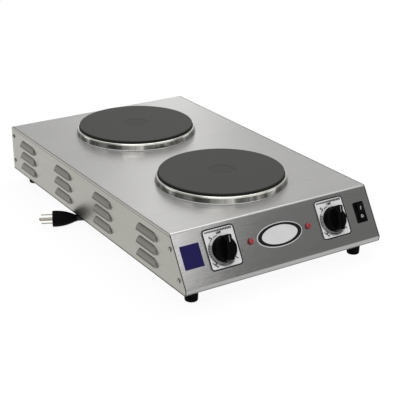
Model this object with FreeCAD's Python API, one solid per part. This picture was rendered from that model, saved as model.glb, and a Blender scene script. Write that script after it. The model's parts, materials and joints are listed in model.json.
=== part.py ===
import FreeCAD, Part
import math
import os

# Double electric hot plate: two cast-iron plates, one behind the other, on a folded stainless housing.
# Millimetres. +Z is up, +Y runs from the control panel to the rear, +X is to the right seen from the front.
# The origin is on the surface that the feet stand on, under the middle of the object without its cord.

V = FreeCAD.Vector
X_AXIS = V(1, 0, 0)
Y_AXIS = V(0, 1, 0)
Z_AXIS = V(0, 0, 1)

# Housing sheet
body_width = 318.0  # over the outer faces of the side panels
deck_depth = 505.0  # from the front bend to the rear wall
body_height = 72.0  # from the bottom edge of the sheet to the deck
panel_run = 39.0  # how far forward the control panel slopes
lip_height = 7.5
lip_tuck = 1.5  # how far back the foot of the lip stands
housing_sheet = 1.2
side_sheet = 1.2
bottom_sheet = 1.0
front_bend_inside = 2.3
rear_bend_inside = 1.8
lip_bend_inside = 1.3
hem_bend_inside = 0.8
seam_gap = 0.4  # between the housing's cut edges and the side panels
bottom_flange = 18.0
side_flange = 17.0
side_flange_end = 8.0  # the side flanges stop this far from the bends

# Louvres of the side panels
louvre_rows = 3
louvre_groups = 4
louvre_length = 55.0
louvre_height = 11.6
louvre_depth = 3.6
louvre_knee = 1.4  # how far above its slit the hood starts to slope
louvre_knee_blend = 2.0
louvre_sheet = 0.9  # thinner than the panel, because pressing stretches it
louvre_top_margin = 11.5
louvre_bottom_margin = 11.9
louvre_front_margin = 30.5
louvre_rear_margin = 35.5
louvre_end_run = 3.0  # how far an end leans over the louvre's depth

# Screws of the housing
screw_shank = 1.75
screw_head = 3.5
screw_head_height = 2.4
screw_length = 9.0
screw_clearance = 0.2
cross_length = 3.8  # cross recess in the domed heads
cross_width = 0.8
cross_depth = 1.1
front_screw_top = 18.0  # down the slope from the front bend
front_screw_bottom = 16.0  # up the slope from the lip
front_screw_inset = 9.3
rear_screw_margin = 15.3
rear_screw_inset = 6.0
bottom_plate_inset = 2.5
bottom_screw_inset = 8.0
bottom_screw_side = 27.0
vent_count = 7
vent_length = 70.0
vent_width = 5.0
vent_pitch = 14.0

# Feet
foot_height = 21.0
foot_top_radius = 9.8
foot_bottom_radius = 8.8
foot_edge = 1.4
foot_side_inset = 24.7
foot_front_inset = 25.0
foot_rear_inset = 24.0
foot_pocket_radius = 4.6
foot_pocket_depth = 9.0
foot_screw_radius = 2.0
foot_screw_head = 3.8
foot_screw_head_height = 2.6
foot_screw_stand = 5.0  # how far the screw stands above the bottom plate
foot_nut_flats = 7.0
foot_nut_height = 3.2

# Hot plates and their trim rings
plate_radius = 90.0
plate_rise = 15.0  # top of the plate above the deck
plate_web = 8.0
plate_rim = 7.5
plate_edge = 1.8
recess_radius = 18.0
recess_ramp = 3.0
recess_depth = 0.6
front_plate_setback = 124.0  # from the front bend
rear_plate_setback = 131.0  # from the rear wall
ring_ledge = 6.0  # how far the deck reaches in under the plate's rim
ring_sheet = 0.9
ring_flare = 2.6  # how far the wall's foot stands out past the bead
ring_height = 10.8
ring_bead = 1.1
ring_clearance = 0.35
ring_base_bend = 1.5
ring_ledge_gap = 0.5

# Heater under each plate
element_radius = 3.0
inner_element_radius = 40.0
outer_element_radius = 62.0
element_pin_radius = 1.5
element_pin_spread = 7.0
pad_thickness = 4.0
heater_gap = 1.0
cover_sheet = 1.0
pin_clearance = 1.0
boss_radius = 12.0
stud_radius = 4.0
stud_grip = 8.0
stud_end = 4.0
stud_clearance = 0.4
stud_nut_flats = 13.0
stud_nut_height = 5.5
bar_drop = 22.0  # from the deck's top to the bar's flat
bar_width = 24.0
bar_sheet = 2.5
bar_foot = 12.0
bar_span_gap = 5.0
terminal_width = 34.0
terminal_height = 13.0
terminal_margin = 10.0
terminal_pin_depth = 9.0

# Controls on the sloped panel, measured down the slope and in from the ends
control_inset = 69.0
control_down = 36.0
dial_width = 49.6
dial_height = 56.0
dial_sheet = 0.8
dial_corner = 5.5
dial_down = 33.3
shaft_radius = 3.0
shaft_flat = 0.8
shaft_hole = 5.0
shaft_depth = 20.0
running_clearance = 0.05
switch_width = 32.0
switch_height = 36.0
switch_depth = 24.0
switch_screw_radius = 2.0
switch_screw_head_height = 2.2
switch_screw_depth = 7.0
tab_width = 6.3
tab_sheet = 0.8
tab_length = 8.0
tab_spread = 9.0

# Knobs
knob_radius = 18.1
knob_gap = 1.0
knob_foot_draft = 0.9
knob_waist = 3.2
knob_waist_round = 2.5
knob_shoulder = 3.6
knob_shoulder_round = 1.6
knob_disc_height = 9.8
knob_top_radius = 14.8
knob_height = 19.5
knob_wall = 2.2
knob_hollow = 6.4
knob_hub = 6.0
knob_screw_gap = 1.2  # round the screw heads under the knob
grip_foot_width = 10.4
grip_top_width = 8.2
grip_round = 1.4
grip_end_draft = 0.3
grip_end_round = 1.2
knob_rest_turn = {"left": -9.0, "right": -12.0}  # degrees, clockwise seen from the front
hub_top = 4.0  # material over the end of the shaft

# Pilot lights
pilot_gap = 10.5  # from the badge's end
pilot_down = 35.4
pilot_lens_radius = 3.9
pilot_flange_radius = 4.7
pilot_flange = 0.9
pilot_rise = 3.6
pilot_flange_round = 0.3
pilot_dome_round = 2.0
pilot_stem = 3.2
pilot_stem_depth = 6.0
pilot_hole_clearance = 0.2
pilot_clip_radius = 6.5
pilot_clip_sheet = 0.8
pilot_lamp_radius = 5.0
pilot_lamp_length = 18.0

# Badge and label
badge_width = 72.6
badge_height = 32.6
badge_sheet = 0.9
badge_down = 36.3
label_width = 28.5
label_height = 31.2
label_sheet = 0.25
label_inset = 8.5
label_down = 34.5

# Rocker switch
rocker_inset = 21.0
rocker_down = 35.6
rocker_width = 16.0
rocker_length = 29.4
rocker_bezel = 1.8
rocker_bezel_corner = 1.6
rocker_body_width = 13.6
rocker_body_length = 26.4
rocker_body_depth = 22.0
rocker_cutout_clearance = 0.1
rocker_swing = 11.6
rocker_paddle_width = 10.6
rocker_gap = 0.3
rocker_pivot_rise = 0.2
rocker_face = 2.3
rocker_keel = 3.0
rocker_throw = 20.0
rocker_pocket_depth = 9.0
rocker_pin_radius = 1.2
rocker_pin_reach = 0.9

# Wiring inside
wire_radius = 1.3
wire_bend = 5.0
wire_lift = 4.0  # the plate wires lie this far above the feed wires
wire_turn = 70.0  # behind the front bend, where wires turn into their lanes
wire_link = 45.0  # behind the front bend, where the link between the switches crosses
wire_drop = 30.0  # below a terminal block's wires
feed_lane = 8.0  # beside the rocker's middle
feed_run = 60.0
plate_lane = 5.0  # beside the controls' middle
return_lane = 15.0
return_rear = 20.0
return_front = 110.0
mains_block_inset = 59.0  # from the right side
mains_block_width = 40.0
mains_block_depth = 20.0
mains_block_height = 18.0
mains_block_setback = 40.0  # from the rear wall to its rear face
mains_pole_spread = 10.0
mains_wire_height = 9.0
mains_well_radius = 3.0
mains_well_depth = 6.0
ground_stud_inset = 101.0  # from the right side
ground_stud_radius = 2.5
ground_stud_height = 12.0
ground_nut_flats = 8.0
ground_nut_height = 4.0

# Cord, strain relief, tie and plug
cord_diameter = 9.0
gland_inset = 73.7  # from the right side
gland_height = 36.1
gland_flange_radius = 10.0
gland_flange = 3.0
gland_flange_round = 1.2
gland_sleeve = 20.0
gland_sleeve_radius = 7.8
gland_tip_radius = 5.8
gland_neck_radius = 7.4
gland_lip_radius = 8.6
gland_lip = 2.5
gland_clearance = 0.1
coil_offset = 84.8  # from the strain relief, towards the left
coil_setback = 82.2  # behind the rear wall
coil_inner_radius = 40.0
coil_pitch = 9.8
coil_turns = 3.375
coil_start_angle = 45.0
tie_sheet = 0.8
tie_gap = 0.3
tie_width = 7.0
tie_angle = 90.0
tie_corner = 3.5
plug_tuck = 4.6  # how far in under the left panel the cord meets the plug
plug_y = 51.4
plug_height = 12.6
plug_heading = 153.7  # degrees from +X, the way the prongs point
plug_roll = 22.0
plug_length = 36.2
plug_radius = 12.1
plug_waist_radius = 11.3
plug_shoulder_radius = 6.9
plug_neck_radius = 5.3
plug_neck_length = 2.5
plug_shoulder_length = 5.8  # from the cord to where the body starts to swell
plug_waist_length = 18.5
plug_grip_length = 30.0
plug_neck_blend = 6.0
plug_shoulder_blend = 30.0
plug_waist_blend = 60.0
plug_grip_blend = 30.0
plug_face_round = 0.8
blade_length = 16.8
blade_width = 6.35
blade_sheet = 1.5
blade_spacing = 12.7
blade_offset = 3.6
ground_pin_radius = 2.4
ground_pin_length = 19.5
ground_pin_offset = 8.3
prong_root = 5.0

# Values that follow from the sizes above
body_z = foot_height + bottom_sheet
deck_z = body_z + body_height
half_width = body_width / 2
panel_drop = body_height - lip_height
panel_length = math.hypot(panel_run, panel_drop)
panel_lean = math.atan2(panel_run, panel_drop)
wrap_half = half_width - side_sheet - seam_gap
deck_hole_radius = plate_radius - ring_ledge
bead_radius = plate_radius + ring_clearance + ring_bead
ring_base_radius = bead_radius + ring_bead + ring_flare
element_rings = (inner_element_radius, outer_element_radius)
gland_x = half_width - gland_inset
mains_block_x = half_width - mains_block_inset
ground_stud_x = half_width - ground_stud_inset
control_x = half_width - control_inset
pilot_x = badge_width / 2 + pilot_gap
rocker_x = half_width - rocker_inset
knob_base = dial_sheet + knob_gap
knob_hollow_radius = knob_radius - knob_foot_draft - knob_wall
switch_screw_spread = (knob_hub + knob_hollow_radius) / 2
switch_screw_head = (knob_hollow_radius - knob_hub) / 2 - knob_screw_gap
cord_radius = cord_diameter / 2
coil_low = cord_radius + tie_sheet + tie_gap
coil_middle = coil_turns / 2
coil_outer_radius = coil_inner_radius + coil_pitch * coil_middle


def box(x0, x1, y0, y1, z0, z1):
    return Part.makeBox(x1 - x0, y1 - y0, z1 - z0, V(x0, y0, z0))


def rod(radius, start, end):
    return Part.makeCylinder(radius, (end - start).Length, start, end - start)


def joined(shapes):
    return shapes[0].multiFuse(shapes[1:]).removeSplitter()


def hex_nut(flats, height, bore, base):
    corners = [
        base + V(math.cos(math.radians(60 * i)), math.sin(math.radians(60 * i)), 0) * (flats / math.sqrt(3))
        for i in range(7)
    ]
    blank = Part.Face(Part.makePolygon(corners)).extrude(Z_AXIS * height)
    return blank.cut(rod(bore, base, base + Z_AXIS * height))


def corner_arc(before, corner, after, radius):
    """The tangent points and the middle of an arc of that radius in the corner of two runs."""
    back = (before - corner).normalize()
    ahead = (after - corner).normalize()
    half_turn = (math.pi - back.getAngle(ahead)) / 2
    reach = radius * math.tan(half_turn)
    inward = (back + ahead).normalize()
    middle = corner + inward * (radius / math.cos(half_turn) - radius)
    return corner + back * reach, middle, corner + ahead * reach


def rounded_path(points, radii, closed=False):
    """Straight runs through the points, with a tangent arc in each corner that radii names by number."""
    count = len(points)
    arcs = {}
    for i, radius in radii.items():
        arcs[i] = corner_arc(points[i - 1], points[i], points[(i + 1) % count], radius)
    edges = []
    for i in range(count if closed else count - 1):
        after = (i + 1) % count
        start = arcs[i][2] if i in arcs else points[i]
        end = arcs[after][0] if after in arcs else points[after]
        edges.append(Part.LineSegment(start, end).toShape())
        if after in arcs:
            edges.append(Part.Arc(*arcs[after]).toShape())
    return Part.Wire(edges)


def outline_face(points, radii):
    return Part.Face(rounded_path(points, radii, closed=True))


def turned(profile, radii):
    """A solid turned about the Z axis from an outline of (radius, height) points."""
    points = [V(r, 0, z) for r, z in profile]
    return outline_face(points, radii).revolve(V(0, 0, 0), Z_AXIS, 360)


def rounded_plate(width, height, corner, z0, z1):
    """An upright-cornered plate round the local origin, between two heights."""
    points = [
        V(-width / 2, -height / 2, z0),
        V(width / 2, -height / 2, z0),
        V(width / 2, height / 2, z0),
        V(-width / 2, height / 2, z0),
    ]
    return outline_face(points, {i: corner for i in range(4)}).extrude(Z_AXIS * (z1 - z0))


def knob():
    """A round knob with a raised bar grip, in the panel's own axes: Y up the slope, Z out of the panel."""
    top = knob_base + knob_height
    disc_top = knob_base + knob_disc_height
    skirt = turned(
        [
            (0, knob_base),
            (knob_radius - knob_foot_draft, knob_base),
            (knob_radius, knob_base + knob_waist),
            (knob_radius - knob_foot_draft, disc_top - knob_shoulder),
            (knob_top_radius, disc_top),
            (0, disc_top),
        ],
        {2: knob_waist_round, 4: knob_shoulder_round},
    )
    foot = disc_top - knob_shoulder
    section = [
        V(-grip_foot_width / 2, -knob_radius, foot),
        V(grip_foot_width / 2, -knob_radius, foot),
        V(grip_top_width / 2, -knob_radius, top),
        V(-grip_top_width / 2, -knob_radius, top),
    ]
    bar = outline_face(section, {2: grip_round, 3: grip_round}).extrude(Y_AXIS * 2 * knob_radius)
    ends = turned(
        [
            (0, foot),
            (knob_radius - knob_foot_draft, foot),
            (knob_radius - knob_foot_draft - grip_end_draft, top),
            (0, top),
        ],
        {2: grip_end_round},
    )
    hollow_top = knob_base + knob_hollow
    hollow = turned(
        [
            (knob_hub, knob_base),
            (knob_hollow_radius, knob_base),
            (knob_hollow_radius, hollow_top),
            (knob_hub, hollow_top),
        ],
        {},
    )
    return joined([skirt, bar.common(ends)]).cut(hollow).cut(shaft_form(knob_base, running_clearance))


def shaft_form(z0, spare=0.0):
    """The shaft from z0 to its end inside the knob, with its flat above the dial, grown by spare."""
    end = knob_base + knob_height - hub_top + spare
    form = rod(shaft_radius + spare, V(0, 0, z0), V(0, 0, end))
    flat = shaft_radius - shaft_flat + spare
    return form.cut(box(-2 * shaft_radius, 2 * shaft_radius, flat, flat + 2 * shaft_radius, knob_base, end))


def panel_frame(bend_y):
    turn = FreeCAD.Rotation(X_AXIS, 90 - math.degrees(panel_lean))
    return FreeCAD.Placement(V(0, bend_y, deck_z), turn)


def at_rest(shape, side):
    """A turning piece of a control, in the panel's own axes, at the angle where it rests."""
    turn = FreeCAD.Placement(V(0, 0, 0), FreeCAD.Rotation(Z_AXIS, knob_rest_turn[side]))
    return shape.transformed(turn.toMatrix())


# The left knob stands furthest forward and the rear wall furthest back, and the origin is halfway between.
knob_reach = at_rest(knob(), "left").transformed(
    (panel_frame(0) * FreeCAD.Placement(V(0, -control_down, 0), FreeCAD.Rotation())).toMatrix()
)
front_reach = knob_reach.optimalBoundingBox(True, False).YMin
bend_y = -(deck_depth + front_reach) / 2
rear_y = bend_y + deck_depth
lip_y = bend_y - panel_run + lip_tuck
coil_centre = V(gland_x - coil_offset, rear_y + coil_setback, 0)
plug_neck = V(-half_width + plug_tuck, plug_y, plug_height)
plate_places = {
    "front": V(0, bend_y + front_plate_setback, deck_z),
    "rear": V(0, rear_y - rear_plate_setback, deck_z),
}
control_places = {"left": -control_x, "right": control_x}
panel_place = panel_frame(bend_y)


def on_panel(shape, x, down):
    """A shape in the panel's own axes, set on the sloped panel at a distance down from the bend."""
    place = panel_place * FreeCAD.Placement(V(x, -down, 0), FreeCAD.Rotation())
    return shape.transformed(place.toMatrix())


def panel_point(x, down, rise):
    return panel_place.multVec(V(x, -down, rise))


def housing_outline():
    """The side view of the folded sheet: lip, sloped panel, deck and rear wall."""
    points = [
        V(0, lip_y, body_z),
        V(0, bend_y - panel_run, body_z + lip_height),
        V(0, bend_y, deck_z),
        V(0, rear_y, deck_z),
        V(0, rear_y, body_z),
    ]
    insides = (hem_bend_inside, lip_bend_inside, front_bend_inside, rear_bend_inside, hem_bend_inside)
    return outline_face(points, {i: inside + housing_sheet for i, inside in enumerate(insides)})


def side_screw_places():
    """Where the side panels are screwed to the housing's flanges, on the plane x = 0."""
    front = [front_screw_top, panel_length - front_screw_bottom]
    rear = [body_z + rear_screw_margin, deck_z - rear_screw_margin]
    places = [panel_point(0, down, -front_screw_inset) for down in front]
    return places + [V(0, rear_y - rear_screw_inset, z) for z in rear]


def bottom_screw_places():
    across = (-half_width + bottom_screw_side, 0, half_width - bottom_screw_side)
    along = (lip_y + bottom_screw_inset, rear_y - bottom_screw_inset)
    return [V(x, y, foot_height) for y in along for x in across]


def foot_places():
    x = half_width - foot_side_inset
    front, rear = lip_y + foot_front_inset, rear_y - foot_rear_inset
    return {
        "front_left": V(-x, front, 0),
        "front_right": V(x, front, 0),
        "rear_left": V(-x, rear, 0),
        "rear_right": V(x, rear, 0),
    }


def housing_wrap():
    outer = housing_outline()
    shell = outer.cut(outer.makeOffset2D(-housing_sheet))
    wrap = shell.extrude(X_AXIS * 2 * wrap_half)
    wrap.translate(V(-wrap_half, 0, 0))
    y0, y1 = lip_y + bottom_flange, rear_y - bottom_flange
    wrap = wrap.cut(box(-half_width, half_width, y0, y1, 0, body_z + housing_sheet))
    flanges = []
    for x in (-half_width + side_sheet, half_width - side_sheet - housing_sheet):
        low, high = side_flange_end - panel_length, -side_flange_end
        flanges.append(on_panel(box(0, housing_sheet, low, high, -side_flange, -housing_sheet), x, 0))
        flanges.append(
            box(
                x,
                x + housing_sheet,
                rear_y - side_flange,
                rear_y - housing_sheet,
                body_z + side_flange_end,
                deck_z - side_flange_end,
            )
        )
    wrap = joined([wrap] + flanges)
    return wrap.cut(deck_holes() + panel_holes() + [gland_hole()] + flange_holes() + side_screw_holes())


def deck_holes():
    depth = Z_AXIS * 2 * housing_sheet
    return [rod(deck_hole_radius, c - depth, c + depth) for c in plate_places.values()]


def panel_holes():
    """Cuts through the sloped panel for the controls, the pilot lights and the rocker switch."""
    low, high = -2 * housing_sheet, housing_sheet
    cuts = []
    for x in control_places.values():
        cuts.append(on_panel(rod(shaft_hole, V(0, 0, low), V(0, 0, high)), x, control_down))
        for side in (-switch_screw_spread, switch_screw_spread):
            hole = rod(switch_screw_radius + screw_clearance, V(side, 0, low), V(side, 0, high))
            cuts.append(on_panel(hole, x, control_down))
    for x in (-pilot_x, pilot_x):
        hole = rod(pilot_stem + pilot_hole_clearance, V(0, 0, low), V(0, 0, high))
        cuts.append(on_panel(hole, x, pilot_down))
    half_x = rocker_body_width / 2 + rocker_cutout_clearance
    half_y = rocker_body_length / 2 + rocker_cutout_clearance
    cuts.append(on_panel(box(-half_x, half_x, -half_y, half_y, low, high), rocker_x, rocker_down))
    return cuts


def gland_hole():
    middle = V(gland_x, rear_y, gland_height)
    depth = Y_AXIS * 2 * housing_sheet
    return rod(gland_neck_radius + gland_clearance, middle - depth, middle + depth)


def flange_holes():
    """Clearance for the bottom plate's screws in the bottom flanges."""
    depth = Z_AXIS * (bottom_sheet + screw_length)
    return [rod(screw_shank + screw_clearance, p, p + depth) for p in bottom_screw_places()]


def side_screw_holes():
    inner, outer = wrap_half - screw_length, half_width + side_sheet
    return [
        rod(screw_shank + screw_clearance, place + X_AXIS * x0, place + X_AXIS * x1)
        for place in side_screw_places()
        for x0, x1 in ((-outer, -inner), (inner, outer))
    ]


def louvre_body(y, slit_z, sink):
    """A louvre of the left panel, sunk inwards: upright at its slit, then sloping, round at its ends."""
    lip_x = -half_width - louvre_depth + sink
    foot_x = -half_width + side_sheet
    run = foot_x - lip_x
    reach = louvre_knee + run * (louvre_height - louvre_knee) / louvre_depth
    straight = louvre_length / 2 - louvre_height
    lip_radius = louvre_height - louvre_end_run
    foot_radius = lip_radius + run * louvre_end_run / louvre_depth
    corners = [V(lip_x, y - louvre_length, slit_z), V(foot_x, y - louvre_length, slit_z)]
    corners.append(corners[1] + Z_AXIS * reach)
    corners.append(corners[0] + Z_AXIS * louvre_knee)
    hood = outline_face(corners, {3: louvre_knee_blend}).extrude(Y_AXIS * 2 * louvre_length)
    room = [box(lip_x, foot_x, y - straight, y + straight, slit_z, slit_z + reach)]
    for end_y in (y - straight, y + straight):
        room.append(Part.makeCone(lip_radius, foot_radius, run, V(lip_x, end_y, slit_z), X_AXIS))
    return hood.common(joined(room))


def left_side_panel():
    panel = housing_outline().extrude(X_AXIS * side_sheet)
    panel.translate(V(-half_width, 0, 0))
    row_pitch = (body_height - louvre_top_margin - louvre_bottom_margin - louvre_height) / (louvre_rows - 1)
    margins = louvre_front_margin + louvre_rear_margin
    group_pitch = (deck_depth - margins - louvre_length) / (louvre_groups - 1)
    first_y = bend_y + louvre_front_margin + louvre_length / 2
    places = [
        (first_y + group * group_pitch, body_z + louvre_bottom_margin + row * row_pitch)
        for group in range(louvre_groups)
        for row in range(louvre_rows)
    ]
    slope_rise = louvre_height - louvre_knee
    sink = louvre_sheet * math.hypot(slope_rise, louvre_depth) / slope_rise
    hoods = [louvre_body(y, z, 0) for y, z in places]
    hollows = [louvre_body(y, z, sink) for y, z in places]
    return joined([panel] + hoods).cut(hollows).cut(side_screw_holes())


def mirrored(shape):
    return shape.mirror(V(0, 0, 0), X_AXIS)


def dome_screw(seat, axis):
    """A domed screw whose head stands out along axis from its seat, with its shank behind it."""
    dome_radius = (screw_head**2 + screw_head_height**2) / (2 * screw_head_height)
    ball = Part.makeSphere(dome_radius, seat + axis * (screw_head_height - dome_radius))
    cap = ball.common(rod(screw_head, seat, seat + axis * 2 * screw_head_height))
    screw = joined([cap, rod(screw_shank, seat - axis * screw_length, seat)])
    deep = screw_head_height - cross_depth
    slots = []
    for half_x, half_y in ((cross_length / 2, cross_width / 2), (cross_width / 2, cross_length / 2)):
        slot = box(-half_x, half_x, -half_y, half_y, deep, screw_head_height)
        slots.append(slot.transformed(FreeCAD.Placement(seat, FreeCAD.Rotation(Z_AXIS, axis)).toMatrix()))
    return screw.cut(slots)


def side_panel_screws():
    screws = []
    for place in side_screw_places():
        for side in (-1, 1):
            screws.append(dome_screw(place + X_AXIS * side * half_width, X_AXIS * side))
    return Part.makeCompound(screws)


def bottom_plate():
    y0, y1 = lip_y + bottom_plate_inset, rear_y - bottom_plate_inset
    x = half_width - bottom_plate_inset
    plate = box(-x, x, y0, y1, foot_height, body_z)
    holes = [(foot_screw_radius, place + Z_AXIS * foot_height) for place in foot_places().values()]
    holes += [(screw_shank, place) for place in bottom_screw_places()]
    depth = Z_AXIS * 2 * bottom_sheet
    cuts = [rod(radius + screw_clearance, p - depth, p + depth) for radius, p in holes]
    half = (vent_length - vent_width) / 2
    slot_ends = [V(x, 0, foot_height) for x in (-half, half)]
    slot = [box(-half, half, -vent_width / 2, vent_width / 2, foot_height - depth.z, foot_height + depth.z)]
    slot = joined(slot + [rod(vent_width / 2, end - depth, end + depth) for end in slot_ends])
    for centre in plate_places.values():
        for i in range(vent_count):
            y = centre.y + (i - (vent_count - 1) / 2) * vent_pitch
            cuts.append(slot.translated(V(0, y, 0)))
    return plate.cut(cuts)


def bottom_plate_screws():
    return Part.makeCompound([dome_screw(place, -Z_AXIS) for place in bottom_screw_places()])


def foot(place):
    rubber = turned(
        [
            (foot_screw_radius + screw_clearance, foot_pocket_depth),
            (foot_pocket_radius, foot_pocket_depth),
            (foot_pocket_radius, 0),
            (foot_bottom_radius, 0),
            (foot_top_radius, foot_height),
            (foot_screw_radius + screw_clearance, foot_height),
        ],
        {3: foot_edge},
    )
    rubber.translate(place)
    return rubber


def foot_screws():
    screws = []
    for place in foot_places().values():
        seat = place + Z_AXIS * foot_pocket_depth
        head = rod(foot_screw_head, seat - Z_AXIS * foot_screw_head_height, seat)
        shank = rod(foot_screw_radius, seat, place + Z_AXIS * (body_z + foot_screw_stand))
        screws.append(joined([head, shank]))
    return Part.makeCompound(screws)


def foot_nuts():
    return Part.makeCompound(
        [
            hex_nut(foot_nut_flats, foot_nut_height, foot_screw_radius, place + Z_AXIS * body_z)
            for place in foot_places().values()
        ]
    )


# Heights under and over the deck's top, for one hot plate
web_low = plate_rise - plate_web
element_middle = web_low - element_radius
pad_top = web_low - 2 * element_radius
pad_low = pad_top - pad_thickness
cover_low = pad_low - cover_sheet
bar_low = -bar_drop - bar_sheet
heater_radius = plate_radius - plate_rim - heater_gap
stud_top = pad_low + stud_grip
terminal_y0 = element_rings[0] - terminal_margin
terminal_y1 = element_rings[1] + terminal_margin
terminal_wire_z = cover_low - terminal_height / 2


def hotplate():
    """A cast disc with a shallow middle recess, a rim that seats on the ring and a boss for the stud."""
    disc = turned(
        [
            (0, pad_low),
            (boss_radius, pad_low),
            (boss_radius, web_low),
            (plate_radius - plate_rim, web_low),
            (plate_radius - plate_rim, ring_sheet),
            (plate_radius, ring_sheet),
            (plate_radius, plate_rise),
            (recess_radius + recess_ramp, plate_rise),
            (recess_radius, plate_rise - recess_depth),
            (0, plate_rise - recess_depth),
        ],
        {6: plate_edge},
    )
    return disc.cut(rod(stud_radius, V(0, 0, pad_low - 1), V(0, 0, stud_top)))


def trim_ring():
    """A drawn ring: a ledge under the plate's rim, a tapered wall and a rolled bead round its top."""
    bead_height = ring_height - ring_bead
    wall = turned(
        [
            (deck_hole_radius + ring_ledge_gap, 0),
            (ring_base_radius, 0),
            (bead_radius + ring_bead, bead_height),
            (bead_radius + ring_bead - ring_sheet, bead_height),
            (ring_base_radius - ring_sheet, ring_sheet),
            (deck_hole_radius + ring_ledge_gap, ring_sheet),
        ],
        {1: ring_base_bend},
    )
    return joined([wall, Part.makeTorus(bead_radius, ring_bead, V(0, 0, bead_height))])


def element_pins(radius):
    y = math.sqrt(radius**2 - element_pin_spread**2)
    return [V(x, y, 0) for x in (-element_pin_spread, element_pin_spread)]


def heating_elements():
    """Two open rings of sheathed element, each with a pin down into the terminal block at both ends."""
    pin_low = cover_low - terminal_pin_depth
    elements = []
    for radius in element_rings:
        pins = element_pins(radius)
        gap = math.degrees(math.asin(element_pin_spread / radius))
        circle = Part.makeCircle(element_radius, V(radius, 0, element_middle), Y_AXIS)
        sheath = Part.Face(Part.Wire(circle)).revolve(V(0, 0, 0), Z_AXIS, 360 - 2 * gap)
        sheath.rotate(V(0, 0, 0), Z_AXIS, 90 + gap)
        legs = [rod(element_pin_radius, p + Z_AXIS * pin_low, p + Z_AXIS * element_middle) for p in pins]
        elements.append(joined([sheath] + legs))
    return Part.makeCompound(elements)


def pin_holes(z0, z1):
    return [
        rod(element_pin_radius + pin_clearance, p + Z_AXIS * z0, p + Z_AXIS * z1)
        for radius in element_rings
        for p in element_pins(radius)
    ]


def insulation_pad():
    pad = rod(heater_radius, V(0, 0, pad_low), V(0, 0, pad_top))
    boss = rod(boss_radius + heater_gap, V(0, 0, pad_low), V(0, 0, pad_top))
    return pad.cut([boss] + pin_holes(pad_low, pad_top))


def heater_cover():
    cover = rod(heater_radius, V(0, 0, cover_low), V(0, 0, pad_low))
    stud_hole = rod(stud_radius + stud_clearance, V(0, 0, cover_low), V(0, 0, pad_low))
    return cover.cut([stud_hole] + pin_holes(cover_low, pad_low))


def terminal_block():
    half = terminal_width / 2
    block = box(-half, half, terminal_y0, terminal_y1, cover_low - terminal_height, cover_low)
    holes = [
        rod(element_pin_radius, p + Z_AXIS * (cover_low - terminal_pin_depth), p + Z_AXIS * cover_low)
        for radius in element_rings
        for p in element_pins(radius)
    ]
    return block.cut(holes)


def clamp_bar():
    """A strap under the deck whose feet bear on the deck beside the hole, drawn up by the stud."""
    leg = deck_hole_radius + bar_span_gap
    half = bar_width / 2
    top = -housing_sheet
    pieces = [box(-leg, leg, -half, half, bar_low, -bar_drop)]
    for x0, x1, foot_x0, foot_x1 in (
        (-leg, -leg + bar_sheet, -leg - bar_foot, -leg + bar_sheet),
        (leg - bar_sheet, leg, leg - bar_sheet, leg + bar_foot),
    ):
        pieces.append(box(x0, x1, -half, half, bar_low, top))
        pieces.append(box(foot_x0, foot_x1, -half, half, top - bar_sheet, top))
    return joined(pieces).cut(rod(stud_radius + stud_clearance, V(0, 0, bar_low), V(0, 0, -bar_drop)))


def clamp_studs():
    low = bar_low - stud_nut_height - stud_end
    return Part.makeCompound(
        [rod(stud_radius, c + Z_AXIS * low, c + Z_AXIS * stud_top) for c in plate_places.values()]
    )


def clamp_nuts():
    lows = (cover_low - stud_nut_height, bar_low - stud_nut_height)
    return Part.makeCompound(
        [
            hex_nut(stud_nut_flats, stud_nut_height, stud_radius, c + Z_AXIS * low)
            for c in plate_places.values()
            for low in lows
        ]
    )


def dial_plate():
    plate = rounded_plate(dial_width, dial_height, dial_corner, 0, dial_sheet)
    plate.translate(V(0, control_down - dial_down, 0))
    holes = [rod(shaft_hole, V(0, 0, 0), V(0, 0, dial_sheet))]
    for side in (-switch_screw_spread, switch_screw_spread):
        holes.append(rod(switch_screw_radius + screw_clearance, V(side, 0, 0), V(side, 0, dial_sheet)))
    return plate.cut(holes)


def control_shaft():
    return shaft_form(-housing_sheet - shaft_depth)


def control_switch():
    half_x, half_y = switch_width / 2, switch_height / 2
    body = box(-half_x, half_x, -half_y, half_y, -housing_sheet - switch_depth, -housing_sheet)
    bore_end = -housing_sheet - shaft_depth - running_clearance
    holes = [rod(shaft_radius + running_clearance, V(0, 0, bore_end), V(0, 0, 0))]
    screw_end = -housing_sheet - switch_screw_depth
    for side in (-switch_screw_spread, switch_screw_spread):
        holes.append(rod(switch_screw_radius, V(side, 0, screw_end), V(side, 0, 0)))
    return body.cut(holes)


def control_screws():
    length = dial_sheet + housing_sheet + switch_screw_depth
    screws = []
    for x in control_places.values():
        for side in (-switch_screw_spread, switch_screw_spread):
            seat = V(side, 0, dial_sheet)
            head = rod(switch_screw_head, seat, seat + Z_AXIS * switch_screw_head_height)
            shank = rod(switch_screw_radius, seat - Z_AXIS * length, seat)
            screws.append(on_panel(joined([head, shank]), x, control_down))
    return Part.makeCompound(screws)


def spade_tab():
    return box(-tab_width / 2, tab_width / 2, -tab_sheet / 2, tab_sheet / 2, -tab_length, 0)


def spade_terminals():
    """Flat tabs on the backs of the two control switches and the rocker switch."""
    tabs = []
    for x in control_places.values():
        for side in (-tab_spread, 0, tab_spread):
            tab = spade_tab()
            tab.translate(V(side, 0, -housing_sheet - switch_depth))
            tabs.append(on_panel(tab, x, control_down))
    for side in (-tab_spread, tab_spread):
        tab = spade_tab()
        tab.translate(V(0, side, -rocker_body_depth))
        tabs.append(on_panel(tab, rocker_x, rocker_down))
    return Part.makeCompound(tabs)


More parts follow.
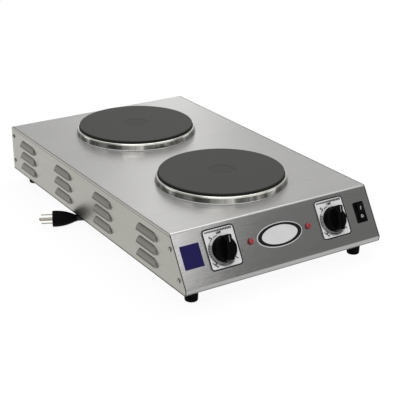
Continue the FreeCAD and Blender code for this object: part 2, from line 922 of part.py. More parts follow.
def pilot_lens():
    return turned(
        [
            (0, -housing_sheet - pilot_stem_depth),
            (pilot_stem, -housing_sheet - pilot_stem_depth),
            (pilot_stem, 0),
            (pilot_flange_radius, 0),
            (pilot_flange_radius, pilot_flange),
            (pilot_lens_radius, pilot_flange),
            (pilot_lens_radius, pilot_rise),
            (0, pilot_rise),
        ],
        {4: pilot_flange_round, 6: pilot_dome_round},
    )


def pilot_clips():
    clip = rod(pilot_clip_radius, V(0, 0, -housing_sheet - pilot_clip_sheet), V(0, 0, -housing_sheet))
    clip = clip.cut(rod(pilot_stem, V(0, 0, -2 * pilot_stem_depth), V(0, 0, 0)))
    return Part.makeCompound([on_panel(clip, x, pilot_down) for x in (-pilot_x, pilot_x)])


def pilot_lamps():
    top = -housing_sheet - pilot_clip_sheet
    lamp = rod(pilot_lamp_radius, V(0, 0, top - pilot_lamp_length), V(0, 0, top))
    lamp = lamp.cut(rod(pilot_stem, V(0, 0, -housing_sheet - pilot_stem_depth), V(0, 0, top)))
    return Part.makeCompound([on_panel(lamp, x, pilot_down) for x in (-pilot_x, pilot_x)])


def oval_badge():
    edge = Part.Ellipse(V(0, 0, 0), badge_width / 2, badge_height / 2).toShape()
    return Part.Face(Part.Wire(edge)).extrude(Z_AXIS * badge_sheet)


def blue_label():
    return box(-label_width / 2, label_width / 2, -label_height / 2, label_height / 2, 0, label_sheet)


def rocker_frame():
    bezel = rounded_plate(rocker_width, rocker_length, rocker_bezel_corner, 0, rocker_bezel)
    half_x, half_y = rocker_body_width / 2, rocker_body_length / 2
    body = box(-half_x, half_x, -half_y, half_y, -rocker_body_depth, 0)
    pocket_x = rocker_paddle_width / 2 + rocker_gap
    pocket_y = rocker_swing + rocker_gap
    pocket = box(-pocket_x, pocket_x, -pocket_y, pocket_y, -rocker_pocket_depth, rocker_bezel)
    reach = V(pocket_x + rocker_pin_reach + running_clearance, 0, 0)
    pivot = V(0, 0, rocker_pivot_rise)
    bore = rod(rocker_pin_radius + running_clearance, pivot - reach, pivot + reach)
    return joined([bezel, body]).cut([pocket, bore])


def rocker_paddle():
    """Two flats that meet in a valley over the pivot: the lower one pressed in, the upper one raised."""
    half = rocker_paddle_width / 2
    far = 2 * rocker_swing
    valley = rocker_pivot_rise + rocker_face
    section = [
        V(-half, -far, rocker_pivot_rise - rocker_keel),
        V(-half, far, rocker_pivot_rise - rocker_keel),
        V(-half, far, valley + far * math.tan(math.radians(rocker_throw))),
        V(-half, 0, valley),
        V(-half, -far, valley),
    ]
    wedge = outline_face(section, {}).extrude(X_AXIS * rocker_paddle_width)
    pivot = V(0, 0, rocker_pivot_rise)
    swing = rod(rocker_swing, pivot - X_AXIS * half, pivot + X_AXIS * half)
    reach = X_AXIS * (half + rocker_gap + rocker_pin_reach)
    return joined([wedge.common(swing), rod(rocker_pin_radius, pivot - reach, pivot + reach)])


def mains_block_box():
    y1 = rear_y - mains_block_setback
    half = mains_block_width / 2
    return mains_block_x - half, mains_block_x + half, y1 - mains_block_depth, y1


def mains_terminal_block():
    x0, x1, y0, y1 = mains_block_box()
    block = box(x0, x1, y0, y1, body_z, body_z + mains_block_height)
    middle = (y0 + y1) / 2
    top = body_z + mains_block_height
    wells = [
        rod(mains_well_radius, V(x, middle, top - mains_well_depth), V(x, middle, top))
        for x in (mains_block_x - mains_pole_spread, mains_block_x + mains_pole_spread)
    ]
    return block.cut(wells)


def ground_place():
    _, _, y0, y1 = mains_block_box()
    return V(ground_stud_x, (y0 + y1) / 2, body_z)


def ground_stud():
    base = ground_place()
    stud = rod(ground_stud_radius, base, base + Z_AXIS * ground_stud_height)
    return Part.makeCompound([stud, hex_nut(ground_nut_flats, ground_nut_height, ground_stud_radius, base)])


def tube(points, radius, radii):
    """A round tube along straight runs with tangent arcs, and its centreline."""
    path = rounded_path(points, radii)
    ring = Part.Wire(Part.makeCircle(radius, points[0], points[1] - points[0]))
    return path.makePipeShell([ring], True, False), path


def wire(points):
    return tube(points, wire_radius, {i: wire_bend for i in range(1, len(points) - 1)})[0]


def tab_lead(x, down, depth, side=0, up=0):
    """The back end of a spade tab and a point straight behind it, where its wire bends."""
    end = -depth - tab_length
    return [panel_point(x + side, down - up, end), panel_point(x + side, down - up, end - 3 * wire_bend)]


def supply_leads():
    x0, x1, y0, y1 = mains_block_box()
    inner = rear_y - housing_sheet - gland_lip
    height = body_z + mains_wire_height
    spread = 2 * wire_radius + 0.2
    ground = ground_place() + V(0, ground_nut_flats / 2, ground_nut_height / 2)
    ends = [
        V(mains_block_x + mains_pole_spread, y1, height),
        V(mains_block_x - mains_pole_spread, y1, height),
        ground,
    ]
    leads = []
    for end, offset in zip(ends, (spread, 0, -spread), strict=True):
        start = V(gland_x + offset, inner, gland_height)
        leads.append(wire([start, start - Y_AXIS * 2 * wire_bend, end + Y_AXIS * 2 * wire_bend, end]))
    return Part.makeCompound(leads)


def switch_wires():
    """Feed from the mains block to the rocker, and on to the two control switches."""
    _, _, y0, _ = mains_block_box()
    height = body_z + mains_wire_height
    lane_x, lane_y = rocker_x - feed_lane, bend_y + wire_turn
    start = V(mains_block_x + mains_pole_spread, y0, height)
    lower = tab_lead(rocker_x, rocker_down, rocker_body_depth, up=-tab_spread)
    upper = tab_lead(rocker_x, rocker_down, rocker_body_depth, up=tab_spread)
    switch_back = housing_sheet + switch_depth
    right = tab_lead(control_x, control_down, switch_back, side=tab_spread)
    right_out = tab_lead(control_x, control_down, switch_back, side=-tab_spread)
    left_in = tab_lead(-control_x, control_down, switch_back, side=tab_spread)
    link_y = bend_y + wire_link
    link = [V(control_x / 2, link_y, height), V(-control_x / 2, link_y, height)]
    lane = [V(lane_x, y0 - feed_run, height), V(lane_x, lane_y, height)]
    feed = [start, start - Y_AXIS * 3 * wire_bend] + lane
    return Part.makeCompound(
        [
            wire(feed + lower[::-1]),
            wire(upper + right[::-1]),
            wire(right_out + link + left_in[::-1]),
        ]
    )


def block_lead(plate, side, along):
    """A point on the side of a plate's terminal block, one beside it and one lower where a wire comes up."""
    face = plate_places[plate] + V(side * terminal_width / 2, terminal_y0 + along, terminal_wire_z)
    beside = face + X_AXIS * side * 3 * wire_bend
    return [face, beside, beside + V(side * 3 * wire_bend, 0, -wire_drop)]


def plate_wires():
    """From each control switch to its plate, and the return leads by way of the mains block."""
    _, _, y0, _ = mains_block_box()
    switch_back = housing_sheet + switch_depth
    height = body_z + mains_wire_height
    low = height + wire_lift
    lane = control_x + plate_lane
    return_x = return_lane - control_x
    left = tab_lead(-control_x, control_down, switch_back)
    right = tab_lead(control_x, control_down, switch_back)
    front, rear = plate_places["front"], plate_places["rear"]
    turn_y = bend_y + wire_turn
    first, second = terminal_margin, 3 * terminal_margin
    left_lane = [V(-lane, turn_y, low), V(-lane, front.y, low)]
    right_lane = [V(lane, turn_y, low), V(lane, rear.y, low)]
    start = V(mains_block_x - mains_pole_spread, y0, height)
    return Part.makeCompound(
        [
            wire(left + left_lane + block_lead("front", -1, first)[::-1]),
            wire(right + right_lane + block_lead("rear", 1, first)[::-1]),
            wire([start, start - Y_AXIS * 3 * wire_bend] + block_lead("rear", 1, second)[::-1]),
            wire(
                block_lead("rear", -1, first)
                + [V(return_x, rear.y - return_rear, low), V(return_x, front.y + return_front, low)]
                + block_lead("front", -1, second)[::-1]
            ),
        ]
    )


def strain_relief():
    """A bushing snapped into the rear wall, with a tapered sleeve outside."""
    sleeve_start = gland_flange
    profile = [
        (0, -housing_sheet - gland_lip),
        (gland_lip_radius, -housing_sheet - gland_lip),
        (gland_lip_radius, -housing_sheet),
        (gland_neck_radius, -housing_sheet),
        (gland_neck_radius, 0),
        (gland_flange_radius, 0),
        (gland_flange_radius, gland_flange),
        (gland_sleeve_radius, sleeve_start),
        (gland_tip_radius, sleeve_start + gland_sleeve),
        (0, sleeve_start + gland_sleeve),
    ]
    bushing = turned(profile, {6: gland_flange_round})
    bushing.rotate(V(0, 0, 0), X_AXIS, -90)
    bushing.translate(V(gland_x, rear_y, gland_height))
    return bushing


def coil_point(turn):
    """A point of the coil's centreline: in along the floor, then up and out again on top."""
    angle = math.radians(coil_start_angle + 360 * turn)
    from_middle = turn - coil_middle
    climb = min(1.0, max(0.0, 0.5 + 2 * from_middle))
    steps = abs(from_middle) if abs(from_middle) > 0.25 else 2 * from_middle**2 + 0.125
    radius = coil_inner_radius + coil_pitch * steps
    height = coil_low + coil_pitch * (1 - math.cos(math.pi * climb)) / 2
    return coil_centre + V(radius * math.cos(angle), radius * math.sin(angle), height)


def coil_heading(turn):
    """The way the cord runs there. At both ends it runs square to the radius."""
    if turn in (0, coil_turns):
        angle = math.radians(coil_start_angle + 360 * turn)
        return V(-math.sin(angle), math.cos(angle), 0)
    step = 0.001
    return (coil_point(turn + step) - coil_point(turn - step)).normalize()


def biarc(start, heading, end, end_heading):
    """Two tangent arcs from one point and heading to another."""
    chord = end - start
    both = heading + end_heading
    spread = 2 * (1 - heading.dot(end_heading))
    along = chord.dot(both)
    reach = (math.sqrt(along**2 + spread * chord.dot(chord)) - along) / spread
    first, second = start + heading * reach, end - end_heading * reach
    meet = (first + second) * 0.5
    arcs = []
    for a, corner, b in ((start, first, meet), (meet, second, end)):
        half = (b - a).Length / 2
        middle = (a + b) * 0.5
        height = (corner - middle).Length
        sagitta = half * math.tan(math.atan2(height, half) / 2)
        arcs.append(Part.Arc(a, middle + (corner - middle).normalize() * sagitta, b).toShape())
    return arcs


def coil_ends():
    """The coil's first and last points, one diameter out along the cord from its turns."""
    start = coil_point(0) - coil_heading(0) * cord_diameter
    end = coil_point(coil_turns) + coil_heading(coil_turns) * cord_diameter
    return start, end


def cord_coil():
    start, end = coil_ends()
    quarters = math.ceil(coil_turns * 4)
    turns = [coil_turns * i / quarters for i in range(quarters + 1)]
    edges = [Part.LineSegment(start, coil_point(0)).toShape()]
    for a, b in zip(turns[:-1], turns[1:], strict=True):
        edges += biarc(coil_point(a), coil_heading(a), coil_point(b), coil_heading(b))
    edges.append(Part.LineSegment(coil_point(coil_turns), end).toShape())
    path = Part.Wire(edges)
    ring = Part.Wire(Part.makeCircle(cord_radius, start, coil_heading(0)))
    print("coil: least gap to itself %.2f mm" % least_gap(path))
    return path.makePipeShell([ring], True, False), path


def least_gap(path):
    """The least clear distance between stretches of the cord that are over four diameters apart along it."""
    step = cord_diameter / 4
    points = path.discretize(Distance=step)
    apart = int(4 * cord_diameter / step)
    gaps = []
    for i, point in enumerate(points):
        gaps += [point.distanceToPoint(other) for other in points[i + apart :]]
    return min(gaps) - cord_diameter


def cord_tie():
    """A strap round all the turns of the coil at one place."""
    place = (tie_angle - coil_start_angle) / 360
    turns = [place + i for i in range(math.ceil(coil_turns)) if place + i < coil_turns]
    reaches = [(coil_point(turn) - coil_centre) for turn in turns]
    outs = [math.hypot(reach.x, reach.y) for reach in reaches]
    spare = cord_radius + 2 * tie_gap
    low_out, high_out = min(outs) - spare, max(outs) + spare
    low_z, high_z = tie_sheet, coil_low + coil_pitch + cord_radius + tie_gap
    loops = []
    for grow in (0, tie_sheet):
        corners = [
            V(low_out - grow, -tie_width / 2, low_z - grow),
            V(high_out + grow, -tie_width / 2, low_z - grow),
            V(high_out + grow, -tie_width / 2, high_z + grow),
            V(low_out - grow, -tie_width / 2, high_z + grow),
        ]
        loop = outline_face(corners, {i: tie_corner + grow for i in range(4)})
        loops.append(loop.extrude(Y_AXIS * tie_width))
    strap = loops[1].cut(loops[0])
    strap.rotate(V(0, 0, 0), Z_AXIS, tie_angle)
    strap.translate(coil_centre)
    return strap


def plug_axis():
    angle = math.radians(plug_heading)
    return V(math.cos(angle), math.sin(angle), 0)


def at_plug(shape):
    """A shape made along +Z, laid down from the plug's neck with its ground pin rolled round."""
    ahead = plug_axis()
    side = V(ahead.y, -ahead.x, 0).normalize() * -1
    roll = math.radians(plug_roll)
    toward = side * math.cos(roll) + Z_AXIS * math.sin(roll)
    across = ahead.cross(toward)
    matrix = FreeCAD.Matrix(
        toward.x, across.x, ahead.x, plug_neck.x,
        toward.y, across.y, ahead.y, plug_neck.y,
        toward.z, across.z, ahead.z, plug_neck.z,
        0, 0, 0, 1,
    )
    return shape.transformed(matrix)


def plug_body():
    body = turned(
        [
            (0, 0),
            (plug_neck_radius, 0),
            (plug_neck_radius, plug_neck_length),
            (plug_shoulder_radius, plug_shoulder_length),
            (plug_waist_radius, plug_waist_length),
            (plug_radius, plug_grip_length),
            (plug_radius, plug_length),
            (0, plug_length),
        ],
        {
            2: plug_neck_blend,
            3: plug_shoulder_blend,
            4: plug_waist_blend,
            5: plug_grip_blend,
            6: plug_face_round,
        },
    )
    sockets = prong_forms(plug_length - prong_root)
    return at_plug(body.cut(sockets))


def prong_forms(root):
    """Two flat blades and a round ground pin, from a root inside the plug."""
    blades = [
        box(
            -blade_offset - blade_width / 2,
            -blade_offset + blade_width / 2,
            side * blade_spacing / 2 - blade_sheet / 2,
            side * blade_spacing / 2 + blade_sheet / 2,
            root,
            plug_length + blade_length,
        )
        for side in (-1, 1)
    ]
    tip = V(ground_pin_offset, 0, plug_length + ground_pin_length - ground_pin_radius)
    pin = rod(ground_pin_radius, V(ground_pin_offset, 0, root), tip)
    return blades + [joined([pin, Part.makeSphere(ground_pin_radius, tip)])]


def plug_prongs():
    return Part.makeCompound([at_plug(form) for form in prong_forms(plug_length - prong_root)])


def cord_radii(points):
    """At each bend the largest arc that its runs leave room for."""
    radii = {}
    for i in range(1, len(points) - 1):
        back, ahead = points[i - 1] - points[i], points[i + 1] - points[i]
        half_turn = (math.pi - back.getAngle(ahead)) / 2
        radii[i] = 0.45 * min(back.Length, ahead.Length) / math.tan(half_turn)
    return radii


def cord_stretch(name, points):
    radii = cord_radii(points)
    solid, path = tube(points, cord_radius, radii)
    expected = math.pi * cord_radius**2 * path.Length
    print("%s: radii %s" % (name, [round(r, 1) for r in radii.values()]))
    share = solid.Volume / expected
    print("%s: length %.1f, volume %.4f of section times length" % (name, path.Length, share))
    return solid, path


# Routes of the cord's free stretches, from the strain relief to the coil and from the coil to the plug
gland_end = V(gland_x, rear_y + gland_flange + gland_sleeve, gland_height)
coil_start, coil_end = coil_ends()
lead_route = [
    gland_end,
    gland_end + V(0, 22.6, 0),
    gland_end + V(-4.1, 43.4, -7.9),
    coil_start + V(27.7, -33.6, 7.9),
    coil_start - coil_heading(0) * 22.6,
    coil_start,
]
tail_route = [
    coil_end,
    coil_end + V(0, -24.0, 0),
    coil_end + V(9.5, -70.8, -6.8),
    coil_end + V(24.1, -121.4, cord_radius - coil_end.z),
    plug_neck + V(141.4, 126.6, cord_radius - plug_height),
    plug_neck + V(143.4, 79.8, cord_radius - plug_height),
    plug_neck + V(135.7, 43.6, cord_radius - plug_height),
    plug_neck + V(118.2, 13.3, cord_radius - plug_height),
    plug_neck + V(91.4, -7.6, cord_radius - plug_height),
    plug_neck + V(59.7, -16.7, -4.6),
    plug_neck - plug_axis() * 30.0,
    plug_neck,
]

nodes = {
    "housing_wrap": housing_wrap(),
    "left_side_panel": left_side_panel(),
    "bottom_plate": bottom_plate(),
    "side_panel_screws": side_panel_screws(),
    "bottom_plate_screws": bottom_plate_screws(),
    "foot_screws": foot_screws(),
    "foot_nuts": foot_nuts(),
    "clamp_studs": clamp_studs(),
    "clamp_nuts": clamp_nuts(),
    "control_screws": control_screws(),
    "spade_terminals": spade_terminals(),
    "pilot_clips": pilot_clips(),
    "pilot_lamps": pilot_lamps(),
    "oval_badge": on_panel(oval_badge(), 0, badge_down),
    "blue_label": on_panel(blue_label(), -half_width + label_inset + label_width / 2, label_down),
    "rocker_frame": on_panel(rocker_frame(), rocker_x, rocker_down),
    "rocker_paddle": on_panel(rocker_paddle(), rocker_x, rocker_down),
    "mains_terminal_block": mains_terminal_block(),
    "ground_stud": ground_stud(),
    "supply_leads": supply_leads(),
    "switch_wires": switch_wires(),
    "plate_wires": plate_wires(),
    "strain_relief": strain_relief(),
    "cord_tie": cord_tie(),
    "plug_body": plug_body(),
    "plug_prongs": plug_prongs(),
}
nodes["right_side_panel"] = mirrored(nodes["left_side_panel"])
for corner, place in foot_places().items():
    nodes["foot_" + corner] = foot(place)
for plate, centre in plate_places.items():
    for name, make in (
        ("hotplate", hotplate),
        ("trim_ring", trim_ring),
        ("heating_elements", heating_elements),
        ("insulation_pad", insulation_pad),
        ("heater_cover", heater_cover),
        ("terminal_block", terminal_block),
        ("clamp_bar", clamp_bar),
    ):
        piece = make()
        piece.translate(centre)
        nodes[plate + "_" + name] = piece
for side, x in control_places.items():
    for name, make in (
        ("dial_plate", dial_plate),
        ("control_switch", control_switch),
        ("control_shaft", control_shaft),
        ("knob", knob),
    ):
        piece = make()
        if make in (control_shaft, knob):
            piece = at_rest(piece, side)
        nodes[side + "_" + name] = on_panel(piece, x, control_down)
for side, x in (("left", -pilot_x), ("right", pilot_x)):
    nodes[side + "_pilot_lens"] = on_panel(pilot_lens(), x, pilot_down)

nodes["cord_lead"], lead_path = cord_stretch("cord_lead", lead_route)
nodes["cord_coil"], coil_path = cord_coil()
nodes["cord_tail"], tail_path = cord_stretch("cord_tail", tail_route)

os.makedirs("parts", exist_ok=True)
for name, shape in nodes.items():
    if not shape.isValid() or any(solid.Volume <= 0 for solid in shape.Solids):
        raise ValueError(name + " isn't a sound solid")
    shape.exportStep("parts/" + name + ".step")

print("%d nodes" % len(nodes))
print("cord length %.1f mm" % (lead_path.Length + coil_path.Length + tail_path.Length))
coil_share = nodes["cord_coil"].Volume / (math.pi * cord_radius**2 * coil_path.Length)
print("coil volume %.4f of section times length" % coil_share)
print("front bend at y = %.3f, rear wall at y = %.3f, deck at z = %.3f" % (bend_y, rear_y, deck_z))
for side, x in control_places.items():
    print(side, "knob axis through", panel_point(x, control_down, 0))
print("panel normal", panel_place.Rotation.multVec(Z_AXIS))
print("rocker pivot", panel_point(rocker_x, rocker_down, rocker_pivot_rise))
print("plates", plate_places, "top at", deck_z + plate_rise)
print("feet", foot_places())
print("coil from", coil_start, "to", coil_end)
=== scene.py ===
import json
import math

import bpy
from mathutils import Matrix, Vector


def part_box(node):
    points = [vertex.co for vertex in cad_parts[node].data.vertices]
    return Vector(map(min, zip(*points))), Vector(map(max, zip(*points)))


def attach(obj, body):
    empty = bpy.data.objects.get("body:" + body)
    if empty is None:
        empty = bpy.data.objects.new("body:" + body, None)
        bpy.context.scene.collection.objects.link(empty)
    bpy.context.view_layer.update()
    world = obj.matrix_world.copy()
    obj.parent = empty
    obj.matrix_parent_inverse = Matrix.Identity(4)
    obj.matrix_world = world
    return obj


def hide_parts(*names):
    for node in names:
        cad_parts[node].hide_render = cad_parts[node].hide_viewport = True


bl_info = {
    "name": "Double hot plate",
    "version": (1, 0, 0),
    "blender": (4, 5, 0),
    "location": "3D View > Sidebar > Hot plate",
    "description": "Finishes, printed marks, cord and studio for a double electric hot plate",
    "category": "Object",
}

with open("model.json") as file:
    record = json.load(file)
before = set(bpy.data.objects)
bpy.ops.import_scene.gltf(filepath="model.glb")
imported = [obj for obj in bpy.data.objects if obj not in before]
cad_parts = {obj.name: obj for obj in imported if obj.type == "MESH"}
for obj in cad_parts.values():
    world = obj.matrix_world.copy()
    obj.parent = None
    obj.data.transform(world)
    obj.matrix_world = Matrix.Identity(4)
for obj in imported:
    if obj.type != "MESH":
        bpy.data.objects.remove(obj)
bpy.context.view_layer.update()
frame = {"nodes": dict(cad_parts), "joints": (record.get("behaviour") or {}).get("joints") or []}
joints = {joint["name"]: joint for joint in frame["joints"]}

MM = 0.001
SIDES = ("left", "right")
PLATES = ("front", "rear")
ACROSS, BACK, UP = range(3)  # the object's axes by number

# The sloped panel's own axes: right along the panel, up the slope and out of it
PANEL_OUT = Vector(joints["left_knob_turn"]["axis"]).normalized()
PANEL_RIGHT = Vector((1, 0, 0))
PANEL_UP = PANEL_OUT.cross(PANEL_RIGHT)

# Sizes of the pieces that the marks are printed on, in metres
DIAL_SHEET = 0.8 * MM
DIAL_DROP = 2.7 * MM  # from the dial plate's middle down to the knob's axis
DIAL_WIDTH = 49.6 * MM
DIAL_HEIGHT = 56.0 * MM
DIAL_CORNER = 5.5 * MM
KNOB_TOP = 21.3 * MM  # the grip's top above the panel
KNOB_TURN = {"left": math.radians(-9), "right": math.radians(-12)}  # at rest, from straight up
BODY_HALF_WIDTH = 159.0 * MM
ROCKER_FACE = 2.3 * MM  # the paddle's valley above its pivot
ROCKER_THROW = math.radians(20)
BADGE_WIDTH = 72.6 * MM
BADGE_HEIGHT = 32.6 * MM
BADGE_SHEET = 0.9 * MM
INK = 0.05 * MM  # how thick a printed mark stands

# Marks on a dial, in metres and degrees. A sign has its share of the letter size, its place and its turn
DIAL_SIGNS = (("OFF", 0.75, 90, 0), ("5", 1.3, 128, 38), ("3", 1.1, 225, -45), ("1", 1.25, 319, 49))
SCALE_INSET = 1.8 * MM  # from the ring of signs in to the scale
SCALE_ARCS = ((99, 121), (236, 308))
OUTER_ARC = (212, 240)
OUTER_ARC_OUTSET = 3.0 * MM
OUTER_ARC_WIDTH = 1.8 * MM
# A grey band beside the knob's left and lower side: printed, and dark enough to be the knob's painted
# shadow as well
BAND_AND_SHADOW_ARC = (150, 306)
BAND_AND_SHADOW_INSET = 0.2 * MM
BAND_AND_SHADOW_WIDTH = 5.0 * MM
DOT_ANGLES = range(136, 226, 10)
DOT_RADIUS = 0.9 * MM
BAR_COUNT = 17
BAR_WIDTH = 1.9 * MM
BAR_HEIGHT = 2.2 * MM
BAR_PITCH = 2.45 * MM
BAR_PLACE = 26.0 * MM  # from the knob's axis up to the row

# Marks on the knobs and the rocker
POINTER_WIDTH = 1.2 * MM
POINTER_DEPTH = 0.3 * MM
POINTER_START = 6.5 * MM  # from the knob's axis to the line
ROCKER_MARK_PLACE = 6.0 * MM  # from the valley to the middle of a mark
ROCKER_BAR = (1.3 * MM, 5.0 * MM, 0.2 * MM)
ROCKER_RING_RADIUS = 2.2 * MM
ROCKER_RING_WIDTH = 1.1 * MM
ROCKER_RING_DEPTH = 0.1 * MM

# The cord's route, from the strain relief to the coil and from the coil to the plug
CORD_DIAMETER = 0.009
GLAND_END = Vector((0.0853, 0.2981, 0.0361))
COIL_CENTRE = Vector((0.0005, 0.3573, 0))
COIL_INNER_RADIUS = 0.040
COIL_PITCH = 0.0098
COIL_TURNS = 3.375
COIL_START_ANGLE = math.radians(45)
COIL_LOW = 0.0056
COIL_POINTS_PER_TURN = 16
LEAD_ROUTE = [
    GLAND_END,
    (0.0853, 0.3207, 0.0361),
    (0.0812, 0.3415, 0.0282),
    (0.0745, 0.3573, 0.0135),
    (0.0628, 0.3749, 0.0056),
    (0.0468, 0.3909, 0.0056),
]
TAIL_ROUTE = [
    (-0.0560, 0.3483, 0.0154),
    (-0.0560, 0.3243, 0.0154),
    (-0.0465, 0.2775, 0.0086),
    (-0.0319, 0.2269, 0.0045),
    (-0.0130, 0.1780, 0.0045),
    (-0.0110, 0.1312, 0.0045),
    (-0.0187, 0.0950, 0.0045),
    (-0.0362, 0.0647, 0.0045),
    (-0.0630, 0.0438, 0.0045),
    (-0.0947, 0.0347, 0.0080),
    (-0.1275, 0.0381, 0.0126),
    (-0.1544, 0.0514, 0.0126),
]

# The photo's camera: its place in metres, its turn in degrees and its lens in millimetres
CAMERA_PLACE = (-0.78356, -1.30652, 0.65599)
CAMERA_TURN = (67.506, 0.127, -31.975)
CAMERA_LENS = 97.4
CAMERA_SENSOR = 36.0

# Soft lights in the sky: a setting and its share, the way towards it and the angles where it fades
SOFT_LIGHTS = (
    ("wall", 1.0, (0.45, 0.85, 0.3), 10, 80),
    ("front", 1.0, (0.4, -0.765, 0.505), 3.0, 5.4),
    ("front", 0.5, (0.42, -0.69, 0.59), 6.0, 8.4),
    ("fill", 1.0, (-0.4, -0.8, 0.4), 8, 50),
    ("sweep", 1.0, (0.486, -0.87, 0.0), 8, 24),
)
STRIP_BEARING = math.radians(30.2)  # the upright strip light's, from straight behind to the right
STRIP_EDGES = (0.3, 3.0)  # the angles where it fades
LAMP_TARGET = Vector((0, 0, 0.05))


class Value:
    """A socket of a finish. Arithmetic on it adds Math nodes."""

    def __init__(self, finish, socket):
        self.finish = finish
        self.socket = socket

    def math(self, operation, *values):
        return self.finish.node("ShaderNodeMath", {"operation": operation}, dict(enumerate(values)))

    def __add__(self, other):
        return self.math("ADD", self, other)

    def __sub__(self, other):
        return self.math("SUBTRACT", self, other)

    def __rsub__(self, other):
        return self.math("SUBTRACT", other, self)

    def __mul__(self, other):
        return self.math("MULTIPLY", self, other)

    def __truediv__(self, other):
        return self.math("DIVIDE", self, other)

    def __abs__(self):
        return self.math("ABSOLUTE", self)

    def root(self):
        return self.math("SQRT", self)

    def sine(self):
        return self.math("SINE", self)

    __radd__ = __add__
    __rmul__ = __mul__


class Finish:
    """The nodes of a material or of the sky, added by one method and by arithmetic on values."""

    def __init__(self, owner):
        self.owner = owner
        owner.use_nodes = True
        self.tree = owner.node_tree
        self.tree.nodes.clear()

    def node(self, kind, settings=None, sockets=None, output=0):
        """Adds a node, sets it up, feeds its sockets with values or links and gives one output."""
        made = self.tree.nodes.new(kind)
        for name, setting in (settings or {}).items():
            setattr(made, name, setting)
        for name, value in (sockets or {}).items():
            if isinstance(value, Value):
                self.tree.links.new(value.socket, made.inputs[name])
            else:
                made.inputs[name].default_value = value
        return Value(self, made.outputs[output]) if made.outputs else None

    def place(self, centre=(0, 0, 0), scale=(1, 1, 1)):
        """Object coordinates, seen from a centre and scaled."""
        coords = self.node("ShaderNodeTexCoord", output="Object")
        moved = self.node("ShaderNodeVectorMath", {"operation": "SUBTRACT"}, {0: coords, 1: centre})
        return self.node("ShaderNodeMapping", sockets={"Vector": moved, "Scale": scale})

    def axes(self, vector):
        return [self.node("ShaderNodeSeparateXYZ", sockets={0: vector}, output=i) for i in range(3)]

    def noise(self, vector, scale, detail=3.0, roughness=0.5):
        sockets = {"Vector": vector, "Scale": scale, "Detail": detail, "Roughness": roughness}
        return self.node("ShaderNodeTexNoise", sockets=sockets)

    def along(self, vector, direction):
        """How far a vector points along a direction."""
        sockets = {0: vector, 1: direction}
        return self.node("ShaderNodeVectorMath", {"operation": "DOT_PRODUCT"}, sockets, "Value")

    def step(self, value, low, high):
        """0 below low, 1 above high and smooth between them."""
        sockets = {"Value": value, "From Min": low, "From Max": high}
        return self.node("ShaderNodeMapRange", {"interpolation_type": "SMOOTHSTEP"}, sockets)

    def mix(self, mask, first, second):
        """A colour between two."""
        return self.node("ShaderNodeMix", {"data_type": "RGBA"}, {0: mask, 6: first, 7: second}, output=2)

    def away(self):
        """The distances along the axes, whichever way."""
        return [abs(distance) for distance in self.axes(self.place())]

    def darkened(self, base, colour, places):
        """A colour with dark places: each a share of it, an axis and the distances where it begins.

        A place with two more distances is a seam, and ends between them.
        """
        away = self.away()
        for share, axis, *distances in places:
            mask = self.step(away[axis], *distances[:2])
            if distances[2:]:
                mask = mask * (1 - self.step(away[axis], *distances[2:]))
            base = self.mix(mask, base, rgb(colour, share))
        return base

    def bump(self, height, depth, strength=1.0):
        sockets = {"Height": height, "Distance": depth, "Strength": strength}
        return self.node("ShaderNodeBump", sockets=sockets)

    def surface(self, **sockets):
        """Ends the finish in one Principled shader. Names have _ for a space."""
        named = {name.replace("_", " "): value for name, value in sockets.items()}
        shader = self.node("ShaderNodeBsdfPrincipled", sockets=named)
        self.node("ShaderNodeOutputMaterial", sockets={"Surface": shader})
        return self.owner


def new_finish(name):
    return Finish(bpy.data.materials.new(name))


def rgb(colour, share=1.0):
    """A colour socket's value, made lighter or darker by a share."""
    return (colour[0] * share, colour[1] * share, colour[2] * share, 1.0)


def brushed_steel(name, colour, roughness, grain, darks=(), worn=(), satin=()):
    """Stainless sheet with fine brush lines along one axis, cloudy wear and the dark places it is given:
    dark cut edges and seams, and shade painted in creases, on louvres and under edges.

    Each worn place is how much duller the sheet turns, an axis and the two distances where it does.
    A satin place is told in the same way, and shines less like a mirror there.
    """
    finish = new_finish(name)
    lines = finish.noise(finish.place(scale=grain), scale=2400.0, roughness=0.6)
    streaks = finish.noise(finish.place(scale=grain), scale=260.0, detail=2.0)
    clouds = finish.noise(finish.place(), scale=7.0)
    tone = lines * 0.3 + streaks * 0.3 + clouds * 0.4
    base = finish.mix(finish.step(tone, 0.3, 0.7), rgb(colour, 0.93), rgb(colour, 1.05))
    base = finish.darkened(base, colour, darks)
    dull = lines * 0.08 + clouds * 0.06 + (roughness - 0.07)
    away = finish.away()
    for share, axis, *distances in worn:
        dull = dull + finish.step(away[axis], *distances) * share
    metal = 1.0
    for share, axis, *distances in satin:
        metal = metal - finish.step(away[axis], *distances) * share
    return finish.surface(
        Base_Color=base, Metallic=metal, Roughness=dull, Normal=finish.bump(lines, 0.03 * MM)
    )


def cast_iron(name, colour, node):
    """Matt coated casting with turned rings, a fine grain and its flank painted dark as the shade between
    plate and ring.
    """
    finish = new_finish(name)
    low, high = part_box(node)
    middle = (low + high) / 2
    place = finish.place(centre=middle)
    x, y, z = finish.axes(place)
    radius = (x * x + y * y).root()
    grain = finish.noise(place, scale=1400.0, detail=4.0, roughness=0.65)
    clouds = finish.noise(place, scale=14.0, detail=4.0)
    rings = (radius * 2600.0).sine()
    tone = grain * 0.5 + clouds * 0.7 + rings * 0.06
    base = finish.mix(finish.step(tone, 0.35, 0.85), rgb(colour, 0.9), rgb(colour, 1.1))
    top = high.z - middle.z
    # The flank below the top is painted dark as the shade that falls between the plate and its ring
    above_flank_shade = finish.step(z, top - 1.6 * MM, top - 0.3 * MM)
    base = finish.mix(above_flank_shade, rgb(colour, 0.2), base)
    return finish.surface(
        Base_Color=base,
        Roughness=clouds * 0.12 + 0.5,
        Specular_IOR_Level=0.15,
        Normal=finish.bump(grain + rings * 0.25, 0.05 * MM, 0.4),
    )


